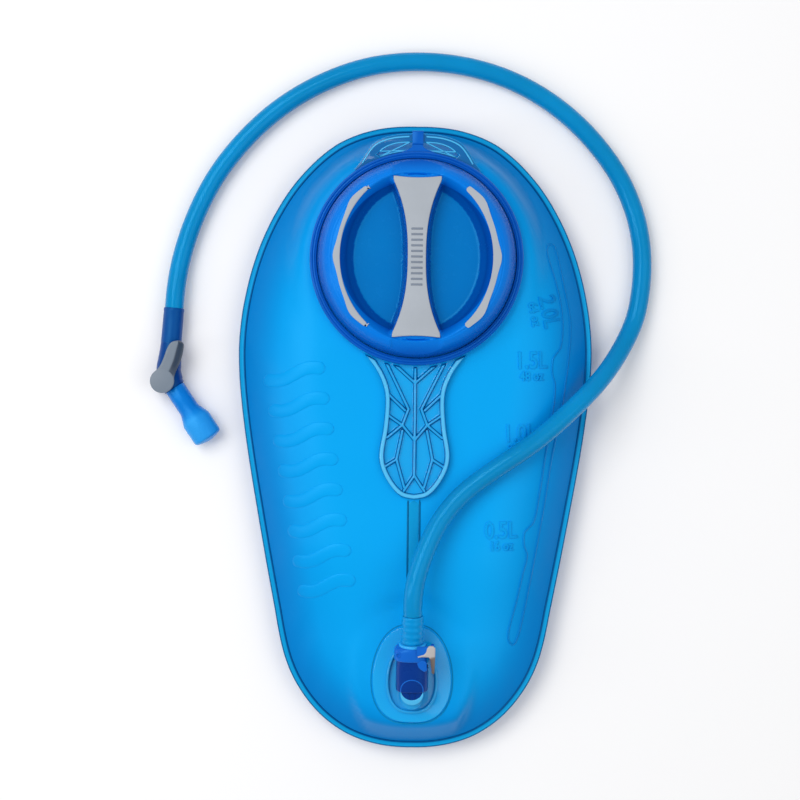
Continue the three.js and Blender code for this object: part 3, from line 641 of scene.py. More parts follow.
FILM_BLUE = film_material()
WELD_BLUE = weld_material()
CLEAR = clear_material()
CAP_BLUE = cap_material()
RING_BLUE = plain_plastic("ring_plastic", srgb(4, 88, 190), 0.3, Specular_Tint=BLUE_GLOSS)
GRIP_GREY = plain_plastic("grip_rubber", srgb(166, 173, 182), 0.62, 0.04, (1600, 0.00006))
RIB_GREY = plain_plastic("grip_ribs", srgb(118, 128, 144), 0.62, 0.04, (1600, 0.00006))
CONNECTOR_BLUE = plain_plastic("connector_plastic", srgb(6, 46, 134), 0.28, Specular_Tint=BLUE_GLOSS)
COLLAR_BLUE = plain_plastic("collar_plastic", srgb(18, 98, 202), 0.28, Specular_Tint=BLUE_GLOSS)
SEAL_CYAN = plain_plastic("collar_ring", srgb(40, 172, 242), 0.22, Specular_IOR_Level=0.4)
BUTTON_GREY = button_material()
LEVER_GREY = lever_material()
SLEEVE_BLUE = plain_plastic("sleeve_rubber", srgb(2, 68, 144), 0.4, 0.07, Specular_Tint=BLUE_GLOSS)
VALVE_BLUE = plain_plastic("valve_plastic", srgb(2, 56, 134), 0.34, Specular_Tint=BLUE_GLOSS)
CUFF_BLUE = plain_plastic("cuff_rubber", srgb(0, 142, 212), 0.3, 0.08, Specular_Tint=BLUE_GLOSS)
SILICONE = silicone_material()
SEAL_BLACK = plain_plastic("seal_rubber", srgb(30, 31, 34), 0.6, 0.15)
STEEL = plain_plastic("spring_steel", srgb(190, 194, 198), 0.28, 0.05, (2500, 0.00001), Metallic=1.0)
HOSE_BLUE = hose_material()

# ---------------------------------------------------------------- the hose

ROUTE_MIDDLE = [
    (1.2, -78, 48.6), (7.4, -59, 46), (14.8, -44.4, 42.6), (25, -31.8, 40.4), (36, -22.5, 39.8),
    (49.3, -13.1, 39.7), (62.8, -3.7, 38.8), (74.3, 5.6, 36.4), (83.9, 14.4, 33), (92.8, 22.8, 28.7),
    (100.4, 30.8, 23.9), (106.8, 38.6, 18.8), (112.5, 46.9, 13.6), (117.4, 55.4, 9.4),
    (121.4, 64, 6.8), (124.2, 73.5, 5.6), (126.2, 89, FLOOR_HOSE), (126, 106, FLOOR_HOSE),
    (122.3, 125, FLOOR_HOSE), (113, 146.5, FLOOR_HOSE), (97.5, 167.4, FLOOR_HOSE), (79.5, 184, FLOOR_HOSE),
    (58, 197.2, FLOOR_HOSE), (33, 206.1, FLOOR_HOSE), (4, 209.8, FLOOR_HOSE), (-25, 207.3, FLOOR_HOSE),
    (-51, 198.6, FLOOR_HOSE), (-76, 184, FLOOR_HOSE), (-97, 164.8, FLOOR_HOSE), (-114, 142, FLOOR_HOSE),
    (-126, 116, FLOOR_HOSE), (-132, 95, 5.6),
]


def hose_route():
    """Straight out of the connector, over the bag to the floor, round the cap's end, into the sleeve."""
    start = at_port([(0, HOSE_START, 0), (0, HOSE_START + 6, 0)])
    end = at_sleeve([(0, SLEEVE_LENGTH + 10, 0), (0, SLEEVE_LENGTH + 0.3, 0)])
    return smooth_line(np.vstack([start, ROUTE_MIDDLE, end]), 320)


def drink_hose():
    route = hose_route()
    outer = tube_rings(route, HOSE_RADIUS)
    bore = tube_rings(route, HOSE_BORE)
    shape = loft(outer + bore[::-1], wrap=True)
    made = piece("drink_hose_tube", shape, HOSE_BLUE, "drink_tube", ["drink_hose"])
    return made, route


hose, hose_line = drink_hose()

# ---------------------------------------------------------------- the bag's outline and heights

OUTLINE_RIGHT = [
    (0, BAG_HALF_LENGTH), (22, 170.8), (44, 162.6), (63, 146), (76, 128), (87.4, 104), (95, 76),
    (BAG_HALF_WIDTH, 48), (95.4, 12), (87.4, -38), (76.5, -96), (71, -121.5), (63.7, -138),
    (50.6, -154.6), (34, -166), (16, -171.4), (0, -BAG_HALF_LENGTH),
]


def bag_outline(count):
    """Evenly spaced points round the bag, clockwise from the middle of its top."""
    ring = smooth_line(both_sides(OUTLINE_RIGHT), count, closed=True)
    ring[:, 0] = np.clip(ring[:, 0], -BAG_HALF_WIDTH, BAG_HALF_WIDTH)
    return ring


FINE_OUTLINE = bag_outline(240)


def edge_distance(x, y):
    """Distance from each place to the bag's outline."""
    return distance_to_segments(x, y, zip(FINE_OUTLINE, np.roll(FINE_OUTLINE, -1, axis=0)))


def crown(t):
    return 1 - (1 - np.minimum(t, 1)) ** 2.2


def near_port(x, y):
    return 1 - smoothstep(np.hypot(x / 21.4, (y - PORT_Y) / 26.4), 1.42, 1.75)


def near_neck(x, y):
    return 1 - smoothstep(np.hypot(x, y - CAP_Y), FLANGE_RADIUS + 1.5, FLANGE_RADIUS + 14)


def front_top(x, y):
    """Upper side of the front film: a pillow with flat places under the neck and the outlet."""
    x, y = np.asarray(x, float), np.asarray(y, float)
    run = np.maximum(0, edge_distance(x, y) - SEAM_WIDTH)
    full = mix(PORT_FILM_TOP, BAG_HEIGHT, smoothstep(y, LOW_END, FULL_END))
    pillow = mix(RIM_TOP, full, crown(run / FRONT_RUN))
    level = mix(mix(pillow, BAG_HEIGHT, near_neck(x, y)), PORT_FILM_TOP, near_port(x, y))
    steepest = mix(OUTLET_RISE, STEEPEST_RISE, smoothstep(y, LOW_END, FULL_END))
    return np.minimum(level, RIM_TOP + steepest * run)


def back_bottom(x, y):
    """Lower side of the back film, flat on the floor inside its curved border."""
    run = np.maximum(0, edge_distance(x, y) - SEAM_WIDTH)
    return RIM_BOTTOM * (1 - crown(run / BACK_RUN))


def puckers(x, y):
    """Shallow gathers that run in from the seam, where the film bends two ways."""
    run = edge_distance(x, y) - SEAM_WIDTH
    turn = np.arctan2(x, y * 0.6)
    waves = np.sin(31 * turn + 1.3 * np.sin(5 * turn)) + 0.6 * np.sin(47 * turn + 2)
    band = smoothstep(run, 0, 5) * (1 - smoothstep(run, 8, 26))
    return 0.16 * (waves + 1.6) * band * (1 - near_port(x, y))


def slack(x, y):
    """Broad soft hollows of a film that isn't quite full."""
    run = edge_distance(x, y) - SEAM_WIDTH
    hollow = 0.5 + 0.25 * np.sin(x / 17 + 0.6) * np.cos(y / 29) + 0.25 * np.sin((x + y) / 38)
    return 0.5 * hollow * smoothstep(run, 10, 40) * (1 - near_neck(x, y)) * (1 - near_port(x, y))


def film_top(x, y):
    """The front film as it lies, with its gathers and hollows."""
    return front_top(x, y) - puckers(x, y) - slack(x, y)


def film_rings(count, insets, height):
    """Rings from the outline to a spine along the bag's middle, with a height for each place."""
    outline = bag_outline(count)
    spine = np.column_stack([np.zeros(count), np.clip(outline[:, 1], -95, 95)])
    reach = np.linalg.norm(outline - spine, axis=1)
    rings = []
    for inset in insets:
        t = np.minimum(inset / reach, 1)[:, None]
        flat = mix(outline, spine, t)
        rings.append(np.column_stack([flat, height(flat[:, 0], flat[:, 1])]))
    return rings


def film_shape(count, insets, upper):
    """A film of even thickness under an upper side."""
    top = film_rings(count, insets, upper)
    bottom = [ring - (0, 0, FILM) for ring in top]
    return loft(top[::-1] + bottom)


def film_side_shade(points):
    """0 where the bag is full, 1 low on its sides: painted shade that darkens the film down its sides."""
    inside = edge_distance(points[:, 0], points[:, 1])
    return 1 - smoothstep(inside, 2, 46)


def cut_holes(made, holes):
    """Takes round holes of (x, y, radius) out of a film, straight down."""
    for x, y, radius in holes:
        points, faces = loft([circle(radius, z, 64) + (x, y, 0) for z in (15, 45)], cap=True)
        mesh = bpy.data.meshes.new("cutter")
        mesh.from_pydata((points * MM).tolist(), [], [list(face) for face in faces])
        cutter = bpy.data.objects.new("cutter", mesh)
        scene.collection.objects.link(cutter)
        cut = made.modifiers.new("hole", "BOOLEAN")
        cut.operation = "DIFFERENCE"
        cut.solver = "EXACT"
        cut.object = cutter
        graph = bpy.context.evaluated_depsgraph_get()
        cut_mesh = bpy.data.meshes.new_from_object(made.evaluated_get(graph))
        made.modifiers.clear()
        made.data = cut_mesh
        bpy.data.objects.remove(cutter)
        bpy.data.meshes.remove(mesh)


# ---------------------------------------------------------------- films and their reliefs

def front_film():
    insets = [
        0, 1.6, 3.3, 4, 4.8, 5.8, 7, 8.5, 10, 12, 14, 16.5, 19, 22, 25, 28, 31, 34.5, 38, 42, 46, 51,
        57, 63, 70, 77, 84, 91, 99,
    ]
    shape = film_shape(288, insets, film_top)
    # painted shade, darker down the front film's sides
    tint_and_shade = film_side_shade(shape[0])
    skin = piece("front_film_skin", shape, FILM_BLUE, "reservoir", ["front_film"], tint_and_shade)
    cut_holes(skin, [(0, CAP_Y, NECK_INNER - 0.5), (0, SPOUT_Y, 5.5)])


def back_film():
    insets = [0, 1.6, 3.3, 4.3, 5.5, 7, 9, 11, 13.5, 16, 19, 22, 30, 45, 65, 99]
    shape = film_shape(192, insets, lambda x, y: back_bottom(x, y) + FILM)
    # painted shade, darker down the back film's sides
    piece("back_film_skin", shape, FILM_BLUE, "reservoir", ["back_film"], film_side_shade(shape[0]))


def seam_weld():
    """The pressed band round the bag, with a bead along each side of it."""
    profile = [
        (-0.15, 11.6), (-0.15, 12.4), (0.25, 13.05), (0.7, 13.1), (1.05, 12.9), (2.3, 12.9), (2.6, 13.2),
        (3.1, 13.3), (3.55, 13.05), (3.6, 12.6), (3.3, 12.0), (0.4, 11.2),
    ]
    count = 320
    outline = bag_outline(count)
    ahead = np.roll(outline, -1, axis=0) - np.roll(outline, 1, axis=0)
    ahead /= np.linalg.norm(ahead, axis=1)[:, None]
    inward = np.column_stack([ahead[:, 1], -ahead[:, 0]])
    rings = [np.column_stack([outline + inset * inward, np.full(count, z)]) for inset, z in profile]
    # painted shade dark at the band's outer edge and along its inner bead, the band's own teal between
    tint_and_shade = np.repeat([max(0, min(1, inset / 3.4)) for inset, _ in profile], count)
    piece("seam_weld", loft(rings, wrap=True), WELD_BLUE, "reservoir", tint_and_shade=tint_and_shade, crease=60)


BEAD_SINK = 0.35  # how far a bead's foot reaches into the film


def bead(line, width, height, sides=7, closed=False):
    """A low rounded bead that follows the front film along a line of (x, y)."""
    line = np.array(line, float)
    if closed:
        ahead = np.roll(line, -1, axis=0) - np.roll(line, 1, axis=0)
    else:
        ahead = np.gradient(line, axis=0)
    ahead /= np.linalg.norm(ahead, axis=1)[:, None]
    across = np.column_stack([-ahead[:, 1], ahead[:, 0]])
    ends = np.ones(len(line))
    if not closed:
        along = np.linspace(0, line_length(line), len(line))
        tip = np.minimum(along, along[::-1]) / (width / 2)
        ends = np.sqrt(np.clip(1 - (1 - np.minimum(tip, 1)) ** 2, 0.01, 1))
    strips = []
    for angle in np.linspace(0, math.pi, sides):
        flat = line + across * (ends * width / 2 * math.cos(angle))[:, None]
        rise = height * math.sin(angle) * np.sqrt(ends) + 0.02
        strips.append(np.column_stack([flat, film_top(*flat.T) + rise]))
    for side in (-1, 1):
        flat = line + across * (side * ends * width / 2)[:, None]
        strips.append(np.column_stack([flat, film_top(*flat.T) - BEAD_SINK]))
    rings = np.stack(strips, axis=1)
    return loft(rings, wrap=closed, cap=not closed)


STRIP_OUTER = [
    (76.8, 105.1), (81.6, 84), (85.4, 65.3), (84.8, 46.9), (82.4, 27), (79.4, 8), (75.6, -11.3),
    (72.2, -34.1), (68.4, -57), (63.8, -83.2), (60, -103), (57.7, -111.2),
]
STRIP_INNER = [
    (53.2, -111.5), (53.4, -105), (57.1, -90), (60.4, -74), (62.6, -63.6), (60.9, -59.4), (61, -51.2),
    (65.6, -46.4), (68.4, -34.1), (71.5, -12.8), (74.8, 8), (76.9, 30.4), (75.4, 35.4), (75.8, 44.6),
    (79.6, 49.8), (80.8, 65.3), (78.8, 79.1), (75.4, 91.3), (71.8, 103.4), (72.8, 107), (75.4, 107.4),
]


def volume_scale():
    """A raised channel with a notch beside some figures, and the figures themselves."""
    channel = smooth_line(STRIP_OUTER + [(55.6, -114)] + STRIP_INNER, 420, closed=True)
    shapes = [bead(channel, 1.1, 0.5, closed=True)]
    labels = [
        ("2.0L", "64 oz", (73, 70), -78), ("1.5L", "48 oz", (63.4, 42.6), 2),
        ("1.0L", "32 oz", (57.4, 2.8), 3), ("0.5L", "16 oz", (47.8, -50.6), 2),
    ]
    for litres, ounces, centre, slant in labels:
        for text, height, drop in ((litres, 9.4, 0), (ounces, 5.2, 8.4)):
            points, faces = lettering(text, height)
            points = turned_z(moved(points, (0, -drop, 0)), math.radians(slant))
            points[:, :2] += centre
            points[:, 2] += film_top(points[:, 0], points[:, 1])
            shapes.append((points, faces))
    shape = joined(*shapes)
    # painted shade: the figures and channel darker than the film round them, on top of the film's painted
    # side shade
    tint_and_shade = np.minimum(1, 0.3 + film_side_shade(shape[0]))
    piece("volume_scale", shape, FILM_BLUE, "reservoir", tint_and_shade=tint_and_shade)


def wave_relief():
    """Eight rounded wave ribs down the left of the bag."""
    count = 8
    top, bottom = (-66.5, 34), (-47.5, -82)
    lean = math.atan2(bottom[0] - top[0], top[1] - bottom[1])
    shapes = []
    for i in range(count):
        t = i / (count - 1)
        half = 17.5 - 1.2 * t
        x = np.linspace(-half, half, 56)
        wave = 2.1 * np.sin(x / half * math.pi)
        line = turned_z(np.column_stack([x, wave, 0 * x]), lean)[:, :2]
        line += (mix(top[0], bottom[0], t), mix(top[1], bottom[1], t))
        shapes.append(bead(line, 7.2, 0.5, sides=11))
    shape = joined(*shapes)
    # painted side shade as on the film, a little weaker
    piece("wave_relief", shape, FILM_BLUE, "reservoir", tint_and_shade=film_side_shade(shape[0]) * 0.85)


def baffle_weld():
    """Where the middle web is welded to the front film."""
    edges = joined(*[bead(spaced([(x, -34), (x, -78)], 40), 1.1, 0.35) for x in (-3.2, 3.2)])
    middle = bead(spaced([(0, -34.5), (0, -77.5)], 40), 5.2, 0.15)
    # painted shade: the edge beads dark as grooves, the band between them in the weld's teal
    tint_and_shade = np.concatenate([np.full(len(edges[0]), 0.12), np.full(len(middle[0]), 0.45)])
    piece("baffle_weld", joined(edges, middle), WELD_BLUE, "reservoir", tint_and_shade=tint_and_shade)


front_film()
back_film()
seam_weld()
volume_scale()
wave_relief()
baffle_weld()

# ---------------------------------------------------------------- the clear moulded neck

RAIL_RIGHT = [
    (34, 53), (28, 47.4), (21.4, 39.2), (17.2, 31.5), (15.1, 24), (14.9, 15.6), (16.2, 2), (18, -9),
    (16.8, -16.6), (11.6, -26), (6.2, -30.9), (0, -32.2),
]
RIBS_RIGHT = [
    [(11.5, 40.1), (0, 29.8)], [(16.8, 42.6), (3.5, 15.6)], [(14, 23.1), (5.4, 14.9)],
    [(3.5, 15.6), (6.8, 6.8)], [(6.8, 6.8), (0, -1.3)], [(6.8, 6.8), (14.4, 12)], [(6.8, 6.8), (15, 0)],
    [(6.7, 3.7), (9.8, -11.9)], [(9.8, -11.9), (5.4, -27)], [(16, -15.9), (9.8, -11.9)],
    [(0, -20.7), (5.6, -29)],
]
HANGER_RIGHT = [(34.6, 146.2), (30.9, 151), (28, 155.8), (23.4, 161.2), (13.5, 164.9), (0, 165.9)]
WINDOW_RIGHT = [(22.6, 154.2), (18.4, 157.9), (11.5, 160.6), (0, 161)]


def thread_ridge(start, turns, steps, bottom, foot, tip, crown_line):
    """One turned ridge with tapered ends. Its crown line is places of (radius, height) from its tip."""
    rings = []
    for t in np.linspace(0, 1, steps + 1):
        angle = start + turns * TURN * t
        height = bottom + THREAD_LEAD * turns * t
        crest = mix(foot, tip, min(1, 0.3 + 8 * min(t, 1 - t)))
        section = [(foot, -0.75), *[(crest + r, h) for r, h in crown_line], (foot, 0.75)]
        rings.append([(r * math.cos(angle), r * math.sin(angle), height + h) for r, h in section])
    return loft(rings, cap=True)


def fill_neck():
    """The ring that is welded to the film, the neck on it and the neck's two thread ridges."""
    profile = rounded([
        (NECK_INNER, FLANGE_BOTTOM), (FLANGE_RADIUS, FLANGE_BOTTOM), (FLANGE_RADIUS, FLANGE_TOP),
        (NECK_OUTER, FLANGE_TOP), (NECK_OUTER, NECK_TOP), (NECK_INNER, NECK_TOP),
    ], 0.6)
    crown_line = [(-0.2, -0.5), (0, 0), (-0.2, 0.5)]
    ridges = [
        thread_ridge(start, 0.75, 90, THREAD_BOTTOM, NECK_OUTER - 0.3, THREAD_TIP, crown_line)
        for start in (0, math.pi)
    ]
    shape = joined(lathe_z(profile, 160), *ridges)
    tint_and_shade = np.full(len(shape[0]), 0.05)
    piece("fill_neck", placed(shape, at_cap), CLEAR, "reservoir", ["fill_collar"], tint_and_shade)


def open_line(right, count):
    """A smooth line from a right half that ends on the Y axis, carried on to the left."""
    return smooth_line(list(right) + mirrored(right[:-1])[::-1], count)


def arc(radius, start, end, count):
    angles = np.linspace(start, end, count)
    return np.column_stack([radius * np.cos(angles), CAP_Y + radius * np.sin(angles)])


def hanger():
    """The clear arch that the bag hangs by, with a window on each side of the cap's strap."""
    contour = open_line(HANGER_RIGHT, 60)
    foot = math.atan2(HANGER_RIGHT[0][1] - CAP_Y, HANGER_RIGHT[0][0])
    inner = arc(FLANGE_RADIUS - 0.4, math.pi - foot, foot, 30)
    window_top = open_line(WINDOW_RIGHT, 40)
    window_radius = FLANGE_RADIUS + 0.1
    reach = math.acos(20.5 / window_radius)
    window = np.vstack([window_top, arc(window_radius, math.pi - reach, reach, 24)])
    shapes = [plate([np.vstack([contour, inner]), window], FLANGE_BOTTOM, FLANGE_TOP, 0.5)]
    for side in (1, -1):
        rib = [(x * side * (1 - 1.6 / 60), y - 1.6) for x, y in HANGER_RIGHT[1:]]
        rib = smooth_line(rib, 40)
        rib = rib[np.abs(rib[:, 0]) > 4.6]
        section = tube_rings(np.column_stack([rib, np.full(len(rib), FLANGE_TOP)]), 0.5, 12)
        shapes.append(loft(section, cap=True))
        rim = [(x, y) for x, y in window_top if 4.2 < x < 21.6]
        rim += [*arc(window_radius + 0.6, math.pi / 2 - 0.36, math.pi / 2 - 0.08, 12)]
        rim = rounded(rim, 1.2, 4) * (side, 1)
        section = tube_rings(np.column_stack([rim, np.full(len(rim), FLANGE_TOP)]), 0.42, 10)
        shapes.append(loft(section, wrap=True))
    shape = joined(*shapes)
    # painted highlight on the raised ribs and rims, with painted shade at their feet
    tint_and_shade = 0.1 + 0.9 * smoothstep(shape[0][:, 2], FLANGE_TOP - 0.1, FLANGE_TOP + 0.4)
    piece("hanger_arch", shape, CLEAR, "reservoir", tint_and_shade=tint_and_shade)


def distance_to_lines(x, y, lines):
    """Distance from each place to the nearest of several open polylines."""
    segments = []
    for line in lines:
        line = np.array(line, float)
        segments += zip(line[:-1], line[1:])
    return distance_to_segments(x, y, segments)


def tongue():
    """The clear stiffener below the neck: a thin web with a rail round it and ribs across it."""
    right = smooth_line(RAIL_RIGHT, 90)
    right = right[np.argsort(-right[:, 1])]
    tip_turn = np.linspace(0, math.pi / 2, 40)[1:]
    rows = np.concatenate([np.linspace(52.6, -26, 160), -33.7 + 7.7 * np.cos(tip_turn)])
    half = np.interp(-rows, -right[:, 1], right[:, 0]) + 1.5
    tip = rows < -26
    half[tip] = np.interp(-rows[tip], -np.append(right[:, 1] - 1.5, -33.7), np.append(right[:, 0] + 0.4, 0))
    half[-1] = 0.05
    columns = np.linspace(-1, 1, 121)
    x = half[:, None] * columns[None, :]
    y = np.broadcast_to(rows[:, None], x.shape)
    rail = [right.tolist(), mirrored(right.tolist())]
    ribs = [[(0, 41), (0, -20.7)], *RIBS_RIGHT, *[mirrored(rib) for rib in RIBS_RIGHT]]
    to_rail = distance_to_lines(x, y, rail)
    to_ribs = distance_to_lines(x, y, ribs)
    rise = np.maximum(
        3.0 * (1 - smoothstep(to_rail, 0.7, 1.7)),
        2.0 * (1 - smoothstep(to_ribs, 0.45, 1.25)),
    )
    from_cap = np.hypot(x, y - CAP_Y)
    rise *= smoothstep(from_cap, RING_OUTER + 0.6, RING_OUTER + 1.8)
    top = np.dstack([x, y, FLANGE_BOTTOM + 0.8 + rise])
    bottom = np.dstack([x, y, np.full(x.shape, FLANGE_BOTTOM)])
    rings = np.concatenate([top, bottom[:, ::-1]], axis=1)
    # painted highlight on rail and rib crests and painted shade at their feet, by height
    tint_and_shade = np.concatenate([np.maximum(rise / 2.4, 0), np.full(x.shape, 0.1)], axis=1).ravel()
    shape = loft(rings, cap=True)
    piece("tongue_lattice", shape, CLEAR, "reservoir", tint_and_shade=tint_and_shade, crease=50)


fill_neck()
hanger()
tongue()

# ---------------------------------------------------------------- the cap's strap

def tether_ring():
    """The loose ring round the cap, with fine grooves along its top."""
    profile = [
        (RING_INNER, RING_BOTTOM), (RING_OUTER - 0.4, RING_BOTTOM), (RING_OUTER, RING_BOTTOM + 0.4),
        (RING_OUTER, RING_TOP - 0.9), (57.6, RING_TOP - 0.25), (57, RING_TOP), (56.6, RING_TOP - 0.35),
        (56.2, RING_TOP), (55.6, RING_TOP), (55.2, RING_TOP - 0.35), (54.8, RING_TOP),
        (RING_INNER, RING_TOP - 0.3),
    ]
    shape = placed(lathe_z(profile, 192), at_cap)
    piece("tether_ring_band", shape, RING_BLUE, "tether_ring", ["tether_ring"], crease=50)


def tether_strap():
    """The strap from the ring to the hanger, flared where it leaves the ring."""
    foot, top = CAP_Y + RING_OUTER - 1.2, 159.6
    section = [
        (-1, -0.5), (-0.95, -0.75), (0.95, -0.75), (1, -0.5), (1, 0.5), (0.95, 0.75), (-0.95, 0.75),
        (-1, 0.5),
    ]
    rings = []
    for y in np.linspace(foot, top, 26):
        half = 3 + 7 * (1 - smoothstep(y, foot, foot + 5.5)) ** 2
        rings.append([(share * half, y, STRAP_Z + rise) for share, rise in section])
    shape = loft(rings, cap=True)
    made = piece("tether_strap_web", shape, RING_BLUE, None, ["tether_strap"])
    return made, top


def tether_anchor():
    """A loop of the strap's own plastic round the hanger's band."""
    middle = 163.45
    inside = 2.8
    wall = 1.1
    half_width = 3

    def box(reach, below, above, radius):
        corners = [(-reach, below), (reach, below), (reach, above), (-reach, above)]
        return rounded(corners, radius, 5)

    def across(x, ring):
        return np.column_stack([np.full(len(ring), x), ring[:, 0] + middle, ring[:, 1]])

    low, high = FLANGE_BOTTOM - 0.3, FLANGE_TOP + 0.3
    outer = box(inside + wall, low - wall, high + wall, 1.2)
    inner = box(inside, low, high, 0.5)
    drawn_in = mix(outer, outer.mean(axis=0), 0.04)
    rings = [
        across(-half_width, drawn_in), across(0.2 - half_width, outer), across(half_width - 0.2, outer),
        across(half_width, drawn_in), across(half_width, inner), across(-half_width, inner),
    ]
    shape = loft(rings, wrap=True)
    piece("tether_anchor_loop", shape, RING_BLUE, "reservoir", ["tether_anchor"])


tether_ring()
strap, strap_top = tether_strap()
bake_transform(strap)
tether_anchor()

# ---------------------------------------------------------------- the cap

HANDLE_HALF_LENGTH = 43.3
HANDLE_SEAT = 52.9
CREST = [
    (40, 54.6), (42, 54.9), (44, 55), (46, 54.6), (47.5, 53.8), (49.4, 52.4), (51, 50.5), (52.5, 48.2),
    (53.3, 46.4),
]


def handle_half_width(y):
    t = np.minimum(np.abs(y) / HANDLE_HALF_LENGTH, 1)
    return mix(4.95, 13, np.minimum(t / 0.95, 1) ** 2.5)


def cap_height(x, y):
    """Top of the cap: a round crest, two pockets and the bar that stands between them."""
    r = np.hypot(x, y)
    crest = np.interp(r, *np.array(CREST).T)
    for groove in (46.8, 49.2, 51.6):
        crest = crest - 0.14 * np.exp(-(((r - groove) / 0.32) ** 2))
    rho = np.hypot(x, y * POCKET_X / POCKET_Y)
    slope = POCKET_FLOOR + 1.5 * (rho - 34.4)
    level = soft_min(soft_max(slope, POCKET_FLOOR + 0 * r, 1.6), crest, 1.2)
    beside = np.abs(x) - handle_half_width(y) - 1.0
    bar = HANDLE_SEAT - 6 * np.maximum(beside, 0)
    bar = np.where(np.abs(y) < HANDLE_HALF_LENGTH + 1, bar, -99)
    level = np.where(r < 47, soft_max(level, bar, 1.2), level)
    seat = (np.abs(x) < handle_half_width(y) + 0.35) & (np.abs(y) < HANDLE_HALF_LENGTH + 0.35)
    level = np.where(seat, np.minimum(level, HANDLE_SEAT), level)
    ramp_height = 54.5 - 0.7 * (np.abs(y) - HANDLE_HALF_LENGTH)
    beyond = (np.abs(y) > HANDLE_HALF_LENGTH) * (1 - smoothstep(np.abs(x), 12.8, 13.8))
    return mix(level, np.minimum(level, ramp_height), beyond)


def cap_shade(points):
    """0 on the pockets' floors, about a quarter on their slopes and 1 on the crest: painted shade on the
    slopes and outer side, painted light on the crest.
    """
    x, y, z = points.T
    r = np.hypot(x, y)
    depth = (z - POCKET_FLOOR) / 11
    tint_and_shade = np.where(depth < 0.04, 0.0, 0.22 + 0.3 * smoothstep(depth, 0.3, 0.85))
    tint_and_shade = np.where(r > 41.5, 0.5 + 0.5 * smoothstep(z, 46, 54), tint_and_shade)
    return np.clip(tint_and_shade, 0, 1)


def cap_body():
    """The shell: its top, its grooved side, and the skirt and plug under it."""
    sides = 360
    floor_radii, slope_radii = np.linspace(0, 34, 46), np.linspace(34.6, 45.8, 28)
    rings = []
    for r in (*floor_radii, *slope_radii, *np.linspace(46.1, 52.8, 36)):
        ring = circle(r, 0, sides)
        ring[:, 2] = cap_height(ring[:, 0], ring[:, 1])
        rings.append(ring)
    groove = 0.22
    outside = [
        (53.3, 46.2), (53.5, 45), (53.5 - groove, 44.7), (53.65, 44.4), (53.75, 43), (53.75 - groove, 42.7),
        (53.85, 42.4), (54, 41), (54, 38), (53.7, SKIRT_BOTTOM), (SKIRT_INNER + 0.3, SKIRT_BOTTOM),
        (SKIRT_INNER, SKIRT_BOTTOM + 0.4), (SKIRT_INNER, 48.3), (50.3, 48.8), (45.2, 48.8),
        (PLUG_RADIUS, 48.4), (PLUG_RADIUS, 42.6), (44.2, 42), (0, 42),
    ]
    rings += [circle(r, z, sides) for r, z in outside]
    shape = loft(rings)
    # painted shade on the pockets' slopes and the outer side, painted light on the crest
    tint_and_shade = cap_shade(shape[0])
    shape = placed(shape, at_cap)
    piece("cap_body", shape, CAP_BLUE, "cap", ["cap_shell"], tint_and_shade, crease=55)


def cap_threads():
    """Two ridges inside the cap's skirt, which run under the neck's."""
    start = 0.35
    bottom = THREAD_BOTTOM + THREAD_LEAD * (start / TURN + 0.25)
    ridges = [
        thread_ridge(start + half, 0.45, 60, bottom, SKIRT_INNER + 0.3, 49.1, [(0, -0.4), (0, 0.4)])
        for half in (0, math.pi)
    ]
    piece("cap_threads", placed(joined(*ridges), at_cap), RING_BLUE, "cap")


def handle_outline(extra):
    """Dog-bone seen from above, with ends that curve in a little."""
    y = np.linspace(-HANDLE_HALF_LENGTH, HANDLE_HALF_LENGTH, 61)
    half = handle_half_width(y) + extra
    right = np.column_stack([half, y])
    across = np.linspace(0.9, -0.9, 9)
    top = [(13 * s, HANDLE_HALF_LENGTH - 0.8 * (1 - (s / 0.9) ** 2)) for s in across]
    left = np.column_stack([-half[::-1], y[::-1]])
    bottom = [(-x, -y_place) for x, y_place in top]
    return np.vstack([right, top, left, bottom])


def cap_handle():
    """The rubber strip on the bar, with plain cross ribs at its middle."""
    pad = placed(plate([handle_outline(-0.05)], 53.2, 54.9, 0.5, 3), at_cap)
    piece("handle_grip_pad", pad, GRIP_GREY, "cap", ["cap_handle_grip"])
    rib = np.array([(-3.1, -0.55), (3.1, -0.55), (3.1, 0.55), (-3.1, 0.55)])
    ribs = [plate([rib + (0, y)], 54.6, 55.2, 0.25) for y in np.linspace(-15, 15, 11)]
    piece("handle_grip_ribs", placed(joined(*ribs), at_cap), RIB_GREY, "cap")


def grip_outline(side):
    """A strip along the pockets' rim with three soft lobes on its outer side."""
    reach = math.radians(54.5)
    inner, outer = [], []
    for angle in np.linspace(-reach, reach, 90):
        edge = 1 / math.hypot(math.cos(angle) / (POCKET_X + 0.4), math.sin(angle) / (POCKET_Y + 0.4))
        lobes = max(math.exp(-(((math.degrees(angle) - place) / 8) ** 2)) for place in (-41, 0, 41))
        end = math.sqrt(max(0, 1 - max(0, (abs(angle) - reach + 0.035) / 0.035) ** 2))
        width = (2.3 + 1.5 * lobes) * max(0.25, end)
        middle = edge + 1.15
        low, high = middle - 1.15 * max(0.25, end), middle - 1.15 + width
        inner.append((side * low * math.cos(angle), low * math.sin(angle)))
        outer.append((side * high * math.cos(angle), high * math.sin(angle)))
    outline = inner + outer[::-1]
    return outline[::-1] if side > 0 else outline


def cap_grips():
    for side, name in ((-1, "left"), (1, "right")):
        shape = placed(plate([grip_outline(side)], 53.2, 55.2, 0.4, 3), at_cap)
        piece(f"grip_arc_{name}", shape, GRIP_GREY, "cap", [f"cap_grip_{name}"])


cap_body()
cap_threads()
cap_handle()
cap_grips()

# ---------------------------------------------------------------- outlet on the bag

